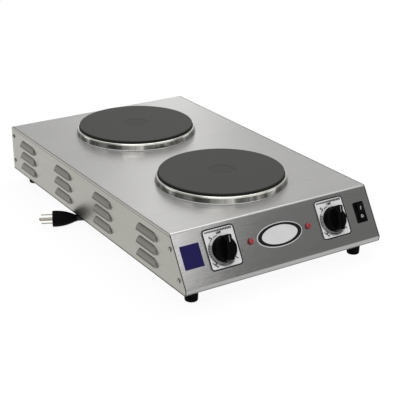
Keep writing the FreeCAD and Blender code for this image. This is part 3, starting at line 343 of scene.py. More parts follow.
def polished_metal(name, colour, roughness, darks=()):
    """Bright metal with faint scuffs and the dark places it is given, such as shade painted round a screw
    head's rim.
    """
    finish = new_finish(name)
    scuffs = finish.noise(finish.place(scale=(1, 1, 6)), scale=220.0, detail=4.0)
    clouds = finish.noise(finish.place(), scale=30.0)
    base = finish.darkened(finish.mix(clouds, rgb(colour, 0.93), rgb(colour, 1.03)), colour, darks)
    return finish.surface(
        Base_Color=base,
        Metallic=1.0,
        Roughness=scuffs * 0.1 + roughness,
        Normal=finish.bump(scuffs, 0.01 * MM, 0.3),
    )


def trim_ring(name, colour, node):
    """A chromed pressing with painted reflections: light and dark stripes painted round its wall, a
    highlight painted on its bead and a foot painted a dull white as a highlight.
    """
    finish = new_finish(name)
    low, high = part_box(node)
    x, y, z = finish.axes(finish.place(centre=((low.x + high.x) / 2, (low.y + high.y) / 2, low.z)))
    radius = (x * x + y * y).root()
    around = finish.node("ShaderNodeCombineXYZ", sockets={0: x / radius, 1: y / radius})
    # Painted reflections: noise round the ring picks light and dark stripes for the wall, the bead is
    # painted brighter as a highlight, and the foot is painted near white with less metal as a highlight
    reflection_noise = finish.noise(around, scale=3.6, roughness=0.55)
    scuffs = finish.noise(finish.place(scale=(1, 1, 6)), scale=220.0, detail=4.0)
    bead = high.z - low.z - 2.2 * MM
    foot = 1 - finish.step(z, 1.3 * MM, 2.0 * MM)
    wall = 1 - finish.step(z, bead - 0.8 * MM, bead)
    painted_reflections = finish.mix(finish.step(reflection_noise, 0.33, 0.62), rgb(colour, 0.85), rgb(colour, 0.16))
    with_bead_highlight = finish.mix(wall, rgb(colour, 1.25), painted_reflections)
    base = finish.mix(foot, with_bead_highlight, (0.95, 0.95, 0.95, 1))
    return finish.surface(
        Base_Color=base,
        Metallic=1 - foot * 0.8,
        Roughness=scuffs * 0.1 + 0.05,
        Normal=finish.bump(scuffs, 0.01 * MM, 0.3),
    )


def moulded(name, colour, roughness, shine=0.35, grain=0.0):
    """Moulded plastic or rubber with a fine skin and soft changes of gloss."""
    finish = new_finish(name)
    skin = finish.noise(finish.place(), scale=1600.0, detail=2.0)
    clouds = finish.noise(finish.place(), scale=45.0)
    base = finish.mix(clouds, rgb(colour, 0.85), rgb(colour, 1.15))
    return finish.surface(
        Base_Color=base,
        Roughness=clouds * 0.1 + skin * grain * 0.2 + roughness,
        Specular_IOR_Level=shine,
        Normal=finish.bump(skin, 0.03 * MM, 0.15 + grain),
    )


def printed(name, colour, roughness=0.4, shine=0.4, face=None):
    """Flat ink or paint with a slight orange peel.

    Below its face, told along the panel's way out, it is dark.
    """
    finish = new_finish(name)
    peel = finish.noise(finish.place(), scale=500.0, detail=2.0)
    clouds = finish.noise(finish.place(), scale=60.0)
    base = finish.mix(clouds, rgb(colour, 0.94), rgb(colour, 1.04))
    if face is not None:
        out = finish.along(finish.place(), PANEL_OUT)
        above_edge = finish.step(out, face - 0.2 * MM, face - 0.1 * MM)
        base = finish.mix(above_edge, rgb(colour, 0.02), base)
    return finish.surface(
        Base_Color=base,
        Roughness=peel * 0.1 + roughness,
        Specular_IOR_Level=shine,
        Normal=finish.bump(peel, 0.02 * MM, 0.15),
    )


def red_lens(name, colour, node):
    """Clear red plastic: a rim painted dark as shade, a middle painted lighter as a highlight and moulded
    facets that catch the light.
    """
    finish = new_finish(name)
    middle = middle_of(node)
    place = finish.place(centre=middle)
    facets = finish.node(
        "ShaderNodeTexVoronoi", {"feature": "F1"}, {"Vector": place, "Scale": 520.0, "Randomness": 0.25}
    )
    right = finish.along(place, PANEL_RIGHT)
    up = finish.along(place, PANEL_UP)
    radius = (right * right + up * up).root()
    grooves = finish.step(facets, 0.1, 0.6)
    # The rim is painted dark as shade and the middle lighter as a painted highlight
    rim = finish.step(radius, 1.0 * MM, 4.2 * MM)
    tone = grooves * 0.3 + rim * 0.7
    base = finish.mix(tone, rgb(colour, 1.2), rgb(colour, 0.1))
    return finish.surface(
        Base_Color=base,
        Roughness=0.1 + facets * 0.08,
        Coat_Weight=0.2,
        Coat_Roughness=0.05,
        Normal=finish.bump(facets, 0.2 * MM, 0.4),
    )


def fibre(name, colour):
    """Pressed or woven glass fibre."""
    finish = new_finish(name)
    strands = finish.noise(finish.place(scale=(1, 1, 3)), scale=700.0, detail=5.0, roughness=0.7)
    base = finish.mix(strands, rgb(colour, 0.75), rgb(colour, 1.1))
    return finish.surface(
        Base_Color=base, Roughness=strands * 0.15 + 0.75, Normal=finish.bump(strands, 0.2 * MM, 0.6)
    )


def panel_matrix(point, turn=0.0, tilt=0.0):
    """A place on the sloped panel: X right, Y up the slope and Z out.

    It is turned in the panel and then tilted about X.
    """
    axes = Matrix((PANEL_RIGHT, PANEL_UP, PANEL_OUT)).transposed().to_4x4()
    place = Matrix.Translation(point) @ axes
    return place @ Matrix.Rotation(tilt, 4, "X") @ Matrix.Rotation(turn, 4, "Z")


def middle_of(node):
    low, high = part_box(node)
    return (low + high) / 2


def start_piece(name, add, **settings):
    """Adds a primitive or a text by its operator, with nothing else selected."""
    bpy.ops.object.select_all(action="DESELECT")
    add(**settings)
    piece = bpy.context.object
    piece.name = name
    return piece


def start_disc(name, corners, radius):
    """Adds a flat disc with one face."""
    add = bpy.ops.mesh.primitive_circle_add
    return start_piece(name, add, vertices=corners, radius=radius, fill_type="NGON")


def edit_piece(*steps):
    """Runs edit mode operators one after another on all of the piece that was just made."""
    bpy.ops.object.mode_set(mode="EDIT")
    bpy.ops.mesh.select_all(action="SELECT")
    for operator, settings in steps:
        operator(**settings)
    bpy.ops.object.mode_set(mode="OBJECT")


def soften(offset, affect="EDGES"):
    """The edit mode step that bevels a piece's edges or its corners."""
    return bpy.ops.mesh.bevel, {"offset": offset, "segments": 2, "affect": affect}


def keep_rim(piece):
    """Deletes a flat piece's middle face and keeps the rim that an inset left round it."""
    bpy.ops.object.mode_set(mode="EDIT")
    bpy.ops.mesh.select_all(action="DESELECT")
    bpy.ops.object.mode_set(mode="OBJECT")
    for face in piece.data.polygons:
        face.select = face.center.length < 0.01 * MM
    bpy.ops.object.mode_set(mode="EDIT")
    bpy.ops.mesh.delete(type="FACE")
    bpy.ops.object.mode_set(mode="OBJECT")
    return piece


def thicken(piece, thickness):
    """Gives a flat piece a thickness, upwards."""
    solid = piece.modifiers.new("thickness", "SOLIDIFY")
    solid.thickness = thickness
    solid.offset = 1.0
    bpy.ops.object.modifier_apply(modifier=solid.name)
    return piece


def select_only(*pieces):
    """Selects these pieces and nothing else, and makes the first of them active."""
    bpy.ops.object.select_all(action="DESELECT")
    for piece in pieces:
        piece.select_set(True)
    bpy.context.view_layer.objects.active = pieces[0]


def set_in(piece, matrix):
    """Puts the selected piece in a place and keeps that place in its mesh."""
    piece.matrix_world = matrix
    bpy.ops.object.transform_apply(location=True, rotation=True, scale=True)
    return piece


def settle(piece, matrix, body, material):
    """Puts a finished piece in its place, with its place in its mesh, on the body that it moves with."""
    select_only(piece)
    set_in(piece, matrix)
    piece.data.materials.clear()
    piece.data.materials.append(material)
    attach(piece, body)


def copied(piece, name):
    """A copy of a piece with its own mesh, alone selected."""
    twin = piece.copy()
    twin.data = piece.data.copy()
    twin.name = name
    bpy.context.scene.collection.objects.link(twin)
    select_only(twin)
    return twin


def as_one(pieces, name):
    """Joins pieces into the first of them."""
    select_only(*pieces)
    bpy.ops.object.join()
    bpy.context.object.name = name
    return bpy.context.object


def choose(piece, wanted):
    """Selects the vertices of a piece whose place is wanted, and leaves the piece in edit mode."""
    bpy.ops.object.mode_set(mode="EDIT")
    bpy.ops.mesh.select_mode(type="VERT")
    bpy.ops.mesh.select_all(action="DESELECT")
    bpy.ops.object.mode_set(mode="OBJECT")
    for vertex in piece.data.vertices:
        vertex.select = wanted(vertex.co)
    bpy.ops.object.mode_set(mode="EDIT")


def printed_arc(name, radius, width, first, last):
    """A thin flat arc between two angles, cut from a ring of edges and drawn inwards."""
    arc = start_piece(name, bpy.ops.mesh.primitive_circle_add, vertices=180, radius=radius)
    middle = math.radians((first + last) / 2)
    half = math.radians((last - first) / 2)
    towards = Vector((math.cos(middle), math.sin(middle), 0))
    choose(arc, lambda place: place.angle(towards) > half)
    bpy.ops.mesh.delete(type="VERT")
    share = (radius - width) / radius
    bpy.ops.mesh.select_all(action="SELECT")
    bpy.ops.mesh.extrude_region()
    bpy.ops.transform.resize(value=(share, share, 1), center_override=(0, 0, 0))
    bpy.ops.mesh.select_all(action="SELECT")
    bpy.ops.mesh.normals_make_consistent(inside=False)
    bpy.ops.object.mode_set(mode="OBJECT")
    return thicken(arc, INK)


def printed_word(name, word, size):
    """A short word as a thin mesh round its own middle."""
    text = start_piece(name, bpy.ops.object.text_add)
    text.data.body = word
    text.data.size = size
    text.data.align_x = "CENTER"
    text.data.align_y = "CENTER"
    text.data.extrude = INK / 2
    text.data.offset = 0.3 * MM  # bolder strokes
    text.data.resolution_u = 4
    bpy.ops.object.convert(target="MESH")
    return text


class HOTPLATE_marks(bpy.types.PropertyGroup):
    """Sizes of the printed marks."""

    letter: bpy.props.FloatProperty(
        name="Letter size", description="Size of the signs on the dials", default=5.5 * MM, unit="LENGTH"
    )
    ring: bpy.props.FloatProperty(
        name="Dial ring",
        description="Radius of the signs and the scale round a knob",
        default=22.3 * MM,
        unit="LENGTH",
    )
    scale: bpy.props.FloatProperty(
        name="Scale line", description="Width of the scale's arcs", default=1.2 * MM, unit="LENGTH"
    )
    border: bpy.props.FloatProperty(
        name="Dial border",
        description="Width of the line round a dial plate",
        default=2.0 * MM,
        unit="LENGTH",
    )
    border_inset: bpy.props.FloatProperty(
        name="Dial border inset",
        description="From a dial plate's edge to its line",
        default=0.1 * MM,
        unit="LENGTH",
    )
    badge_rim: bpy.props.FloatProperty(
        name="Badge rim",
        description="From the badge's edge to its band",
        default=1.0 * MM,
        unit="LENGTH",
    )
    badge_sides: bpy.props.FloatProperty(
        name="Badge band sides",
        description="Width of the badge's band at its ends",
        default=6.4 * MM,
        unit="LENGTH",
    )
    badge_band: bpy.props.FloatProperty(
        name="Badge band",
        description="Width of the badge's band above and below",
        default=2.9 * MM,
        unit="LENGTH",
    )
    pointer: bpy.props.FloatProperty(
        name="Pointer length",
        description="Length of the line on a knob's grip",
        default=8.5 * MM,
        unit="LENGTH",
    )


class HOTPLATE_colours(bpy.types.PropertyGroup):
    """Colours of the finishes."""

    steel: bpy.props.FloatVectorProperty(
        name="Housing", description="Stainless housing", default=(0.403, 0.399, 0.393), subtype="COLOR"
    )
    side: bpy.props.FloatVectorProperty(
        name="Side panels",
        description="Stainless side panels",
        default=(0.405, 0.396, 0.358),
        subtype="COLOR",
    )
    iron: bpy.props.FloatVectorProperty(
        name="Hot plates", description="Coated cast iron", default=(0.036, 0.037, 0.033), subtype="COLOR"
    )
    chrome: bpy.props.FloatVectorProperty(
        name="Trim rings", description="Polished steel", default=(0.62, 0.615, 0.57), subtype="COLOR"
    )
    black: bpy.props.FloatVectorProperty(
        name="Black plastic",
        description="Knobs and rocker",
        default=(0.002, 0.002, 0.002),
        subtype="COLOR",
    )
    rubber: bpy.props.FloatVectorProperty(
        name="Rubber",
        description="Feet, plug and cord",
        default=(0.0025, 0.0025, 0.0025),
        subtype="COLOR",
    )
    dial: bpy.props.FloatVectorProperty(
        name="Dial plates", description="Painted dial face", default=(0.61, 0.61, 0.61), subtype="COLOR"
    )
    badge: bpy.props.FloatVectorProperty(
        name="Badge", description="Painted badge face", default=(0.52, 0.52, 0.52), subtype="COLOR"
    )
    ink: bpy.props.FloatVectorProperty(
        name="Ink", description="Printed marks", default=(0.008, 0.008, 0.008), subtype="COLOR"
    )
    lens: bpy.props.FloatVectorProperty(
        name="Pilot lights", description="Red lenses", default=(0.42, 0.006, 0.007), subtype="COLOR"
    )
    label: bpy.props.FloatVectorProperty(
        name="Label", description="Blue film", default=(0.012, 0.009, 0.065), subtype="COLOR"
    )


class HOTPLATE_studio(bpy.types.PropertyGroup):
    """Levels of the studio's light."""

    horizon: bpy.props.FloatProperty(
        name="Horizon", description="Dim light from all round", default=0.25
    )
    ceiling: bpy.props.FloatProperty(name="Ceiling", description="Soft light from above", default=0.85)
    wall: bpy.props.FloatProperty(name="Back wall", description="Soft light from behind", default=0.38)
    strip: bpy.props.FloatProperty(
        name="Back strip", description="Upright strip light behind", default=1.4
    )
    front: bpy.props.FloatProperty(name="Front glow", description="Soft light in front", default=1.3)
    fill: bpy.props.FloatProperty(
        name="Front fill", description="Wide soft light at the front left", default=0.8
    )
    sweep: bpy.props.FloatProperty(
        name="Front sweep", description="Low soft light at the front right", default=0.5
    )
    key: bpy.props.FloatProperty(
        name="Key lamp", description="Lamp at the front left", default=8.0, unit="POWER"
    )
    top: bpy.props.FloatProperty(
        name="Top lamp", description="Lamp above on the right", default=7.0, unit="POWER"
    )
    white: bpy.props.FloatProperty(
        name="Floor white", description="Share of the floor's own white", default=0.93, subtype="FACTOR"
    )


def beside(*depths):
    """Distances from the object's middle, told in millimetres out from its side panels."""
    return [BODY_HALF_WIDTH + depth * MM for depth in depths]


class HOTPLATE_OT_finishes(bpy.types.Operator):
    """Give every piece of the frame its finish"""

    bl_idname = "hotplate.finishes"
    bl_label = "Finishes"

    def execute(self, context):
        colours = context.scene.hotplate_colours
        low, deck = [corner.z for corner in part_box("housing_wrap")]
        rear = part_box("housing_wrap")[1].y
        # Dark places on the sheets: the bottom edge painted dark as the shadow under it, the side panels'
        # dark cut edges and a dark line under the deck's fold, and shade painted on the louvres' creases,
        # hoods, brows and lips
        bottom_edge_shadow = (0.14, UP, low + 2.2 * MM, low + 1.6 * MM)
        cut = (0.14, ACROSS, *beside(-0.05, -0.3))
        seam = (0.2, UP, *[deck - depth * MM for depth in (3.9, 3.5, 3.1, 2.7)])
        # Painted shade on the louvres: a dark line in the creases where they leave the panel, and their
        # hoods, brows and lips at full depth painted dark
        louvre_crease_shade = (0.14, ACROSS, *beside(0.05, 0.15, 0.5, 0.8))
        louvre_hood_shade = (0.44, ACROSS, *beside(0.05, 0.15))
        louvre_brow_shade = (0.54, ACROSS, *beside(0.9, 2.6))
        edge = (0.3, ACROSS, *beside(3.1, 3.3))
        darks = [bottom_edge_shadow, cut, seam, louvre_hood_shade, louvre_brow_shade, edge, louvre_crease_shade]
        # Faces that are duller than the sloped panel and the hoods
        deck_top = (UP, deck - 1.2 * MM, deck - 0.2 * MM)
        rear_wall = (BACK, rear - 0.8 * MM, rear - 0.2 * MM)
        flat_side = (ACROSS, *beside(0.15, 0.05))
        housing = brushed_steel(
            "housing steel",
            colours.steel,
            roughness=0.09,
            grain=(0.012, 1, 1),
            # the bottom edge painted dark as the shadow under it
            darks=[bottom_edge_shadow],
            worn=[(0.21, *deck_top), (0.17, *rear_wall)],
            satin=[(0.25, *deck_top)],
        )
        side = brushed_steel(
            "side steel",
            colours.side,
            roughness=0.15,
            grain=(1, 0.012, 1),
            darks=darks,
            worn=[(0.16, *flat_side)],
        )
        plain = brushed_steel("plain steel", (0.42, 0.42, 0.41), roughness=0.42, grain=(0.05, 1, 1))
        screw = polished_metal("screw steel", (0.5, 0.5, 0.47), roughness=0.22)
        # Side screw heads painted dark round their lower rim as the shade where they sit on the panel
        rim = (0.1, ACROSS, *beside(1.4, 1.0))
        side_screw = polished_metal("side screw steel", (0.6, 0.6, 0.56), roughness=0.3, darks=[rim])
        prong = polished_metal("prong nickel", (0.26, 0.25, 0.2), roughness=0.2)
        sheath = polished_metal("element sheath", (0.16, 0.15, 0.14), roughness=0.5)
        brass = polished_metal("terminal brass", (0.72, 0.5, 0.2), roughness=0.25)
        black = moulded("gloss black", colours.black, roughness=0.06, shine=0.03)
        rocker = moulded("rocker black", colours.black, roughness=0.3, shine=0.05)
        switch = moulded("switch black", (0.03, 0.03, 0.03), roughness=0.45)
        lamp = moulded("lamp holder", (0.6, 0.58, 0.52), roughness=0.5)
        ceramic = moulded("ceramic", (0.78, 0.74, 0.66), roughness=0.6, grain=0.5)
        rubber = moulded("foot rubber", colours.rubber, roughness=0.6, shine=0.03, grain=0.6)
        plug = moulded("plug black", colours.rubber, roughness=0.45, shine=0.03, grain=0.4)
        tie = moulded("tie black", (0.02, 0.02, 0.02), roughness=0.5, grain=0.8)
        panel_level = Vector(joints["left_knob_turn"]["pos_m"]).dot(PANEL_OUT)
        dial = printed("dial face", colours.dial, face=panel_level + DIAL_SHEET)
        badge = printed("badge face", colours.badge)
        label = printed("label film", colours.label, roughness=0.45, shine=0.08)
        board = fibre("insulation board", (0.72, 0.69, 0.6))
        sleeve = fibre("wire sleeve", (0.62, 0.58, 0.48))
        finishes = {
            "housing_wrap": housing,
            "left_side_panel": side,
            "right_side_panel": side,
            "bottom_plate": plain,
            "side_panel_screws": side_screw,
            "bottom_plate_screws": screw,
            "foot_screws": screw,
            "foot_nuts": screw,
            "clamp_studs": screw,
            "clamp_nuts": screw,
            "control_screws": screw,
            "pilot_lamps": lamp,
            "pilot_clips": plain,
            "rocker_frame": rocker,
            "rocker_paddle": rocker,
            "spade_terminals": brass,
            "oval_badge": badge,
            "blue_label": label,
            "mains_terminal_block": ceramic,
            "ground_stud": brass,
            "supply_leads": sleeve,
            "switch_wires": sleeve,
            "plate_wires": sleeve,
            "strain_relief": rubber,
            "cord_lead": rubber,
            "cord_coil": rubber,
            "cord_tail": rubber,
            "cord_tie": tie,
            "plug_body": plug,
            "plug_prongs": prong,
        }
        for corner in ("front_left", "front_right", "rear_left", "rear_right"):
            finishes["foot_" + corner] = rubber
        for plate in PLATES:
            casting = plate + "_hotplate"
            finishes[casting] = cast_iron(plate + " plate iron", colours.iron, casting)
            ring = plate + "_trim_ring"
            finishes[ring] = trim_ring(plate + " ring chrome", colours.chrome, ring)
            finishes[plate + "_heating_elements"] = sheath
            finishes[plate + "_insulation_pad"] = board
            finishes[plate + "_heater_cover"] = plain
            finishes[plate + "_clamp_bar"] = plain
            finishes[plate + "_terminal_block"] = ceramic
        for hand in SIDES:
            finishes[hand + "_knob"] = black
            finishes[hand + "_control_shaft"] = screw
            finishes[hand + "_control_switch"] = switch
            finishes[hand + "_dial_plate"] = dial
            lens = hand + "_pilot_lens"
            finishes[lens] = red_lens(hand + " lens red", colours.lens, lens)
        for name, node in frame["nodes"].items():
            node.data.materials.clear()
            node.data.materials.append(finishes[name])
        return {"FINISHED"}


def coil_point(turn):
    """A point of the coil: in along the floor, up in the middle half turn and out again on top."""
    angle = COIL_START_ANGLE + math.tau * turn
    from_middle = turn - COIL_TURNS / 2
    climb = min(1.0, max(0.0, 0.5 + 2 * from_middle))
    steps = abs(from_middle) if abs(from_middle) > 0.25 else 2 * from_middle**2 + 0.125
    radius = COIL_INNER_RADIUS + COIL_PITCH * steps
    height = COIL_LOW + COIL_PITCH * (1 - math.cos(math.pi * climb)) / 2
    return COIL_CENTRE + Vector((radius * math.cos(angle), radius * math.sin(angle), height))


class HOTPLATE_OT_cord(bpy.types.Operator):
    """Lay the power cord from the strain relief, through its coil, to the plug"""

    bl_idname = "hotplate.cord"
    bl_label = "Power cord"

    def execute(self, context):
        count = round(COIL_TURNS * COIL_POINTS_PER_TURN)
        turns = [coil_point(COIL_TURNS * i / count) for i in range(count + 1)]
        route = [Vector(p) for p in LEAD_ROUTE] + turns + [Vector(p) for p in TAIL_ROUTE]
        line = bpy.data.curves.new("power_cord", "CURVE")
        line.dimensions = "3D"
        line.bevel_depth = CORD_DIAMETER / 2
        line.bevel_resolution = 6
        line.resolution_u = 6
        spline = line.splines.new("NURBS")
        spline.points.add(len(route) - 1)
        for point, place in zip(spline.points, route, strict=True):
            point.co = (*place, 1.0)
        spline.order_u = 3
        spline.use_endpoint_u = True
        cord = bpy.data.objects.new("power_cord", line)
        context.scene.collection.objects.link(cord)
        colours = context.scene.hotplate_colours
        line.materials.append(moulded("cord rubber", colours.rubber, roughness=0.42, grain=0.5))
        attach(cord, "housing")
        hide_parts("cord_lead", "cord_coil", "cord_tail")
        return {"FINISHED"}


class HOTPLATE_OT_dials(bpy.types.Operator):
    """Print the border, the signs, the scale, the row of bars and the grey band, which is also the knob's
    painted shadow, on both dial plates
    """

    bl_idname = "hotplate.dials"
    bl_label = "Dial marks"

    def execute(self, context):
        marks = context.scene.hotplate_marks
        ink = printed("dial ink", context.scene.hotplate_colours.ink, shine=0.1)
        pieces = [self.border(marks), *self.signs(marks), *self.scale(marks), *self.bars()]
        # The grey band beside each knob is print and the knob's painted shadow in one
        grey = printed("dial grey and shadow", (0.3, 0.3, 0.3), shine=0.1)
        band = printed_arc("left_dial_band", marks.ring - BAND_AND_SHADOW_INSET, BAND_AND_SHADOW_WIDTH, *BAND_AND_SHADOW_ARC)
        for first, tone in ((as_one(pieces, "left_dial_marks"), ink), (band, grey)):
            prints = {"left": first, "right": copied(first, first.name.replace("left", "right"))}
            for hand, marking in prints.items():
                face = Vector(joints[hand + "_knob_turn"]["pos_m"]) + PANEL_OUT * DIAL_SHEET
                settle(marking, panel_matrix(face), "housing", tone)
        return {"FINISHED"}

    def border(self, marks):
        line = start_piece("dial_border", bpy.ops.mesh.primitive_plane_add, size=1.0)
        width = DIAL_WIDTH - 2 * marks.border_inset
        height = DIAL_HEIGHT - 2 * marks.border_inset
        set_in(line, Matrix.Diagonal((width, height, 1, 1)))
        corner = {"offset": DIAL_CORNER - marks.border_inset, "segments": 8, "affect": "VERTICES"}
        edit_piece((bpy.ops.mesh.bevel, corner), (bpy.ops.mesh.inset, {"thickness": marks.border}))
        thicken(keep_rim(line), INK)
        return set_in(line, Matrix.Translation((0, DIAL_DROP, 0)))

    def signs(self, marks):
        """The word at rest and plain numbers round the dial, each turned to face it."""
        pieces = []
        for sign, share, angle, turn in DIAL_SIGNS:
            piece = printed_word("dial_sign", sign, marks.letter * share)
            around = Matrix.Rotation(math.radians(angle), 4, "Z") @ Vector((marks.ring, 0, INK / 2))
            turned = Matrix.Rotation(math.radians(turn), 4, "Z")
            pieces.append(set_in(piece, Matrix.Translation(around) @ turned))
        return pieces

    def scale(self, marks):
        """A short arc, a row of dots, a long arc and a bold outer one round the knob."""
        radius = marks.ring - SCALE_INSET
        pieces = [printed_arc("dial_arc", radius, marks.scale, *ends) for ends in SCALE_ARCS]
        outer = marks.ring + OUTER_ARC_OUTSET
        pieces.append(printed_arc("dial_arc", outer, OUTER_ARC_WIDTH, *OUTER_ARC))
        dot = start_disc("dial_dot", 16, DOT_RADIUS)
        edit_piece((bpy.ops.mesh.inset, {"thickness": 0.2 * MM}))
        thicken(dot, INK)
        for angle in map(math.radians, DOT_ANGLES):
            place = Vector((radius * math.cos(angle), radius * math.sin(angle), 0))
            pieces.append(set_in(copied(dot, "dial_dot_copy"), Matrix.Translation(place)))
        bpy.data.objects.remove(dot)
        return pieces

    def bars(self):
        """A row of bars over the word, growing to the right."""
        bar = start_piece("dial_bar", bpy.ops.mesh.primitive_plane_add, size=1.0)
        set_in(bar, Matrix.Diagonal((BAR_WIDTH, BAR_HEIGHT, 1, 1)))
        edit_piece(soften(0.2 * MM, "VERTICES"))
        thicken(bar, INK)
        pieces = []
        for i in range(BAR_COUNT):
            place = Matrix.Translation(((i - BAR_COUNT // 2) * BAR_PITCH, BAR_PLACE, 0))
            grown = Matrix.Diagonal((1, 0.9 + 0.04 * i, 1, 1))
            pieces.append(set_in(copied(bar, "dial_bar_copy"), place @ grown))
        bpy.data.objects.remove(bar)
        return pieces


class HOTPLATE_OT_pointers(bpy.types.Operator):
    """Inlay the pointer line in each knob's grip"""

    bl_idname = "hotplate.pointers"
    bl_label = "Knob pointers"

    def execute(self, context):
        marks = context.scene.hotplate_marks
        grey = printed("pointer grey", (0.2, 0.2, 0.2))
        for hand in SIDES:
            axis = Vector(joints[hand + "_knob_turn"]["pos_m"])
            line = start_piece(hand + "_knob_pointer", bpy.ops.mesh.primitive_cube_add, size=1.0)
            line.scale = (POINTER_WIDTH, marks.pointer, POINTER_DEPTH)
            bpy.ops.object.transform_apply(scale=True)
            edit_piece(soften(0.1 * MM))
            on_grip = Matrix.Translation((0, POINTER_START + marks.pointer / 2, KNOB_TOP))
            place = panel_matrix(axis, KNOB_TURN[hand]) @ on_grip
            settle(line, place, hand + "_control", grey)
        return {"FINISHED"}


class HOTPLATE_OT_rocker(bpy.types.Operator):
    """Print the on and off marks on the rocker's two flats"""

    bl_idname = "hotplate.rocker"
    bl_label = "Rocker marks"

    def execute(self, context):
        pale = printed("rocker mark", (0.35, 0.35, 0.35))
        valley = Vector(joints["rocker_tilt"]["pos_m"]) + PANEL_OUT * ROCKER_FACE
        bar = start_piece("rocker_mark_on", bpy.ops.mesh.primitive_cube_add, size=1.0)
        bar.scale = ROCKER_BAR
        bpy.ops.object.transform_apply(scale=True)
        edit_piece(soften(0.06 * MM))
        upper = panel_matrix(valley, tilt=ROCKER_THROW) @ Matrix.Translation((0, ROCKER_MARK_PLACE, 0))
        settle(bar, upper, "rocker", pale)
        ring = start_disc("rocker_mark_off", 32, ROCKER_RING_RADIUS)
        edit_piece((bpy.ops.mesh.inset, {"thickness": ROCKER_RING_WIDTH}))
        thicken(keep_rim(ring), ROCKER_RING_DEPTH)
        lower = panel_matrix(valley) @ Matrix.Translation((0, -ROCKER_MARK_PLACE, 0))
        settle(ring, lower, "rocker", pale)
        return {"FINISHED"}


class HOTPLATE_OT_badge(bpy.types.Operator):
    """Print the band round the oval badge"""

    bl_idname = "hotplate.badge"
    bl_label = "Badge band"

    def execute(self, context):
        marks = context.scene.hotplate_marks
        ink = printed("badge ink", context.scene.hotplate_colours.ink, shine=0.1)
        band = start_disc("badge_band", 128, 1.0)
        width = BADGE_WIDTH / 2 - marks.badge_rim
        height = BADGE_HEIGHT / 2 - marks.badge_rim
        set_in(band, Matrix.Diagonal((width, height, 1, 1)))
        narrower = (width - marks.badge_sides) / (width - marks.badge_band)
        edit_piece(
            (bpy.ops.mesh.inset, {"thickness": marks.badge_band}),
            (bpy.ops.transform.resize, {"value": (narrower, 1, 1), "center_override": (0, 0, 0)}),
        )
        thicken(keep_rim(band), INK)
        face = middle_of("oval_badge") + PANEL_OUT * BADGE_SHEET / 2
        settle(band, panel_matrix(face), "housing", ink)
        return {"FINISHED"}


def area_lamp(name, place, size, power):
    """A square lamp that shines on the object and isn't seen."""
    light = bpy.data.lights.new(name, "AREA")
    light.shape = "RECTANGLE"
    light.size = light.size_y = size
    light.energy = power
    lamp = bpy.data.objects.new(name, light)
    lamp.location = place
    lamp.rotation_euler = (LAMP_TARGET - Vector(place)).to_track_quat("-Z", "Y").to_euler()
    lamp.visible_camera = False
    bpy.context.scene.collection.objects.link(lamp)


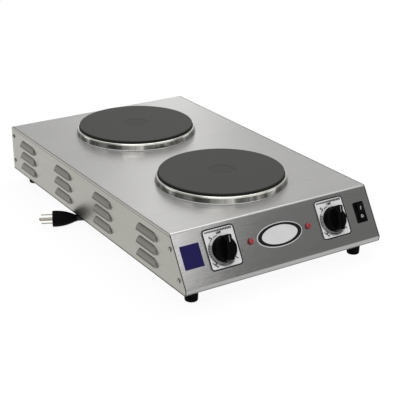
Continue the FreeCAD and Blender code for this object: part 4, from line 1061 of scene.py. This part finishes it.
class HOTPLATE_OT_stage(bpy.types.Operator):
    """Set up the pale floor, the soft lamps and the camera"""

    bl_idname = "hotplate.stage"
    bl_label = "Studio"

    def execute(self, context):
        studio = context.scene.hotplate_studio
        self.floor(studio)
        self.sky(context.scene, studio)
        area_lamp("key", place=(-1.3, -1.2, 1.6), size=1.0, power=studio.key)
        area_lamp("top", place=(0.7, 0.4, 1.8), size=0.9, power=studio.top)
        self.camera(context.scene)
        context.scene.view_settings.view_transform = "Standard"
        return {"FINISHED"}

    def floor(self, studio):
        under = (0, 0, -0.1 * MM)
        floor = start_piece("floor", bpy.ops.mesh.primitive_plane_add, size=60.0, location=under)
        finish = new_finish("pale floor")
        path = "ShaderNodeLightPath"
        seen = finish.node(path, output="Is Camera Ray") + finish.node(path, output="Is Glossy Ray")
        seen = seen + finish.node(path, output="Is Transmission Ray")
        paint = finish.node("ShaderNodeBsdfDiffuse", sockets={"Color": (0.86, 0.86, 0.86, 1)})
        white = finish.node("ShaderNodeEmission", sockets={"Color": (1, 1, 1, 1), "Strength": 1.0})
        shared = finish.node("ShaderNodeMixShader", sockets={0: seen * studio.white, 1: paint, 2: white})
        finish.node("ShaderNodeOutputMaterial", sockets={"Surface": shared})
        floor.data.materials.append(finish.owner)

    def sky(self, scene, studio):
        """A dim room: a soft ceiling, a pale wall behind, a strip on it and soft lights in front."""
        scene.world = bpy.data.worlds.new("studio")
        finish = Finish(scene.world)
        towards = finish.node("ShaderNodeTexCoord", output="Generated")
        x, y, height = finish.axes(towards)
        ceiling = finish.step(height, 0.5, 0.84) * studio.ceiling
        haze = finish.step(height, 0.1, 0.7) * 0.12
        light = ceiling + haze
        for setting, share, direction, *edges in SOFT_LIGHTS:
            aim = finish.along(towards, Vector(direction).normalized())
            inner, outer = [math.cos(math.radians(angle)) for angle in edges]
            light = light + finish.step(aim, outer, inner) * (getattr(studio, setting) * share)
        aim = (x * math.sin(STRIP_BEARING) + y * math.cos(STRIP_BEARING)) / (x * x + y * y).root()
        inner, outer = [math.cos(math.radians(angle)) for angle in STRIP_EDGES]
        strip = finish.step(aim, outer, inner)
        light = light + strip * (1 - finish.step(height, 0.45, 0.7)) * studio.strip
        shader = finish.node(
            "ShaderNodeBackground", sockets={"Color": (1, 1, 1, 1), "Strength": light + studio.horizon}
        )
        finish.node("ShaderNodeOutputWorld", sockets={"Surface": shader})

    def camera(self, scene):
        data = bpy.data.cameras.new("photo camera")
        data.lens = CAMERA_LENS
        data.sensor_width = CAMERA_SENSOR
        data.sensor_fit = "HORIZONTAL"
        camera = bpy.data.objects.new("photo camera", data)
        camera.location = CAMERA_PLACE
        camera.rotation_euler = [math.radians(angle) for angle in CAMERA_TURN]
        scene.collection.objects.link(camera)
        scene.camera = camera


class HOTPLATE_PT_panel(bpy.types.Panel):
    """Lists the hot plate's steps and settings"""

    bl_label = "Hot plate"
    bl_idname = "HOTPLATE_PT_panel"
    bl_space_type = "VIEW_3D"
    bl_region_type = "UI"
    bl_category = "Hot plate"

    def draw(self, context):
        for operator in OPERATORS:
            self.layout.operator(operator.bl_idname)
        for group in SETTINGS:
            settings = getattr(context.scene, group)
            for name in settings.__annotations__:
                self.layout.prop(settings, name)


SETTINGS = {
    "hotplate_marks": HOTPLATE_marks,
    "hotplate_colours": HOTPLATE_colours,
    "hotplate_studio": HOTPLATE_studio,
}
OPERATORS = (
    HOTPLATE_OT_stage,
    HOTPLATE_OT_finishes,
    HOTPLATE_OT_cord,
    HOTPLATE_OT_dials,
    HOTPLATE_OT_pointers,
    HOTPLATE_OT_rocker,
    HOTPLATE_OT_badge,
)


def register():
    for group in (*SETTINGS.values(), *OPERATORS, HOTPLATE_PT_panel):
        bpy.utils.register_class(group)
    for name, group in SETTINGS.items():
        setattr(bpy.types.Scene, name, bpy.props.PointerProperty(type=group))


def unregister():
    for name in SETTINGS:
        delattr(bpy.types.Scene, name)
    for group in (HOTPLATE_PT_panel, *reversed(OPERATORS), *SETTINGS.values()):
        bpy.utils.unregister_class(group)


def main():
    register()
    bpy.ops.hotplate.stage()
    bpy.ops.hotplate.finishes()
    bpy.ops.hotplate.cord()
    bpy.ops.hotplate.dials()
    bpy.ops.hotplate.pointers()
    bpy.ops.hotplate.rocker()
    bpy.ops.hotplate.badge()


if __name__ == "__main__":
    main()
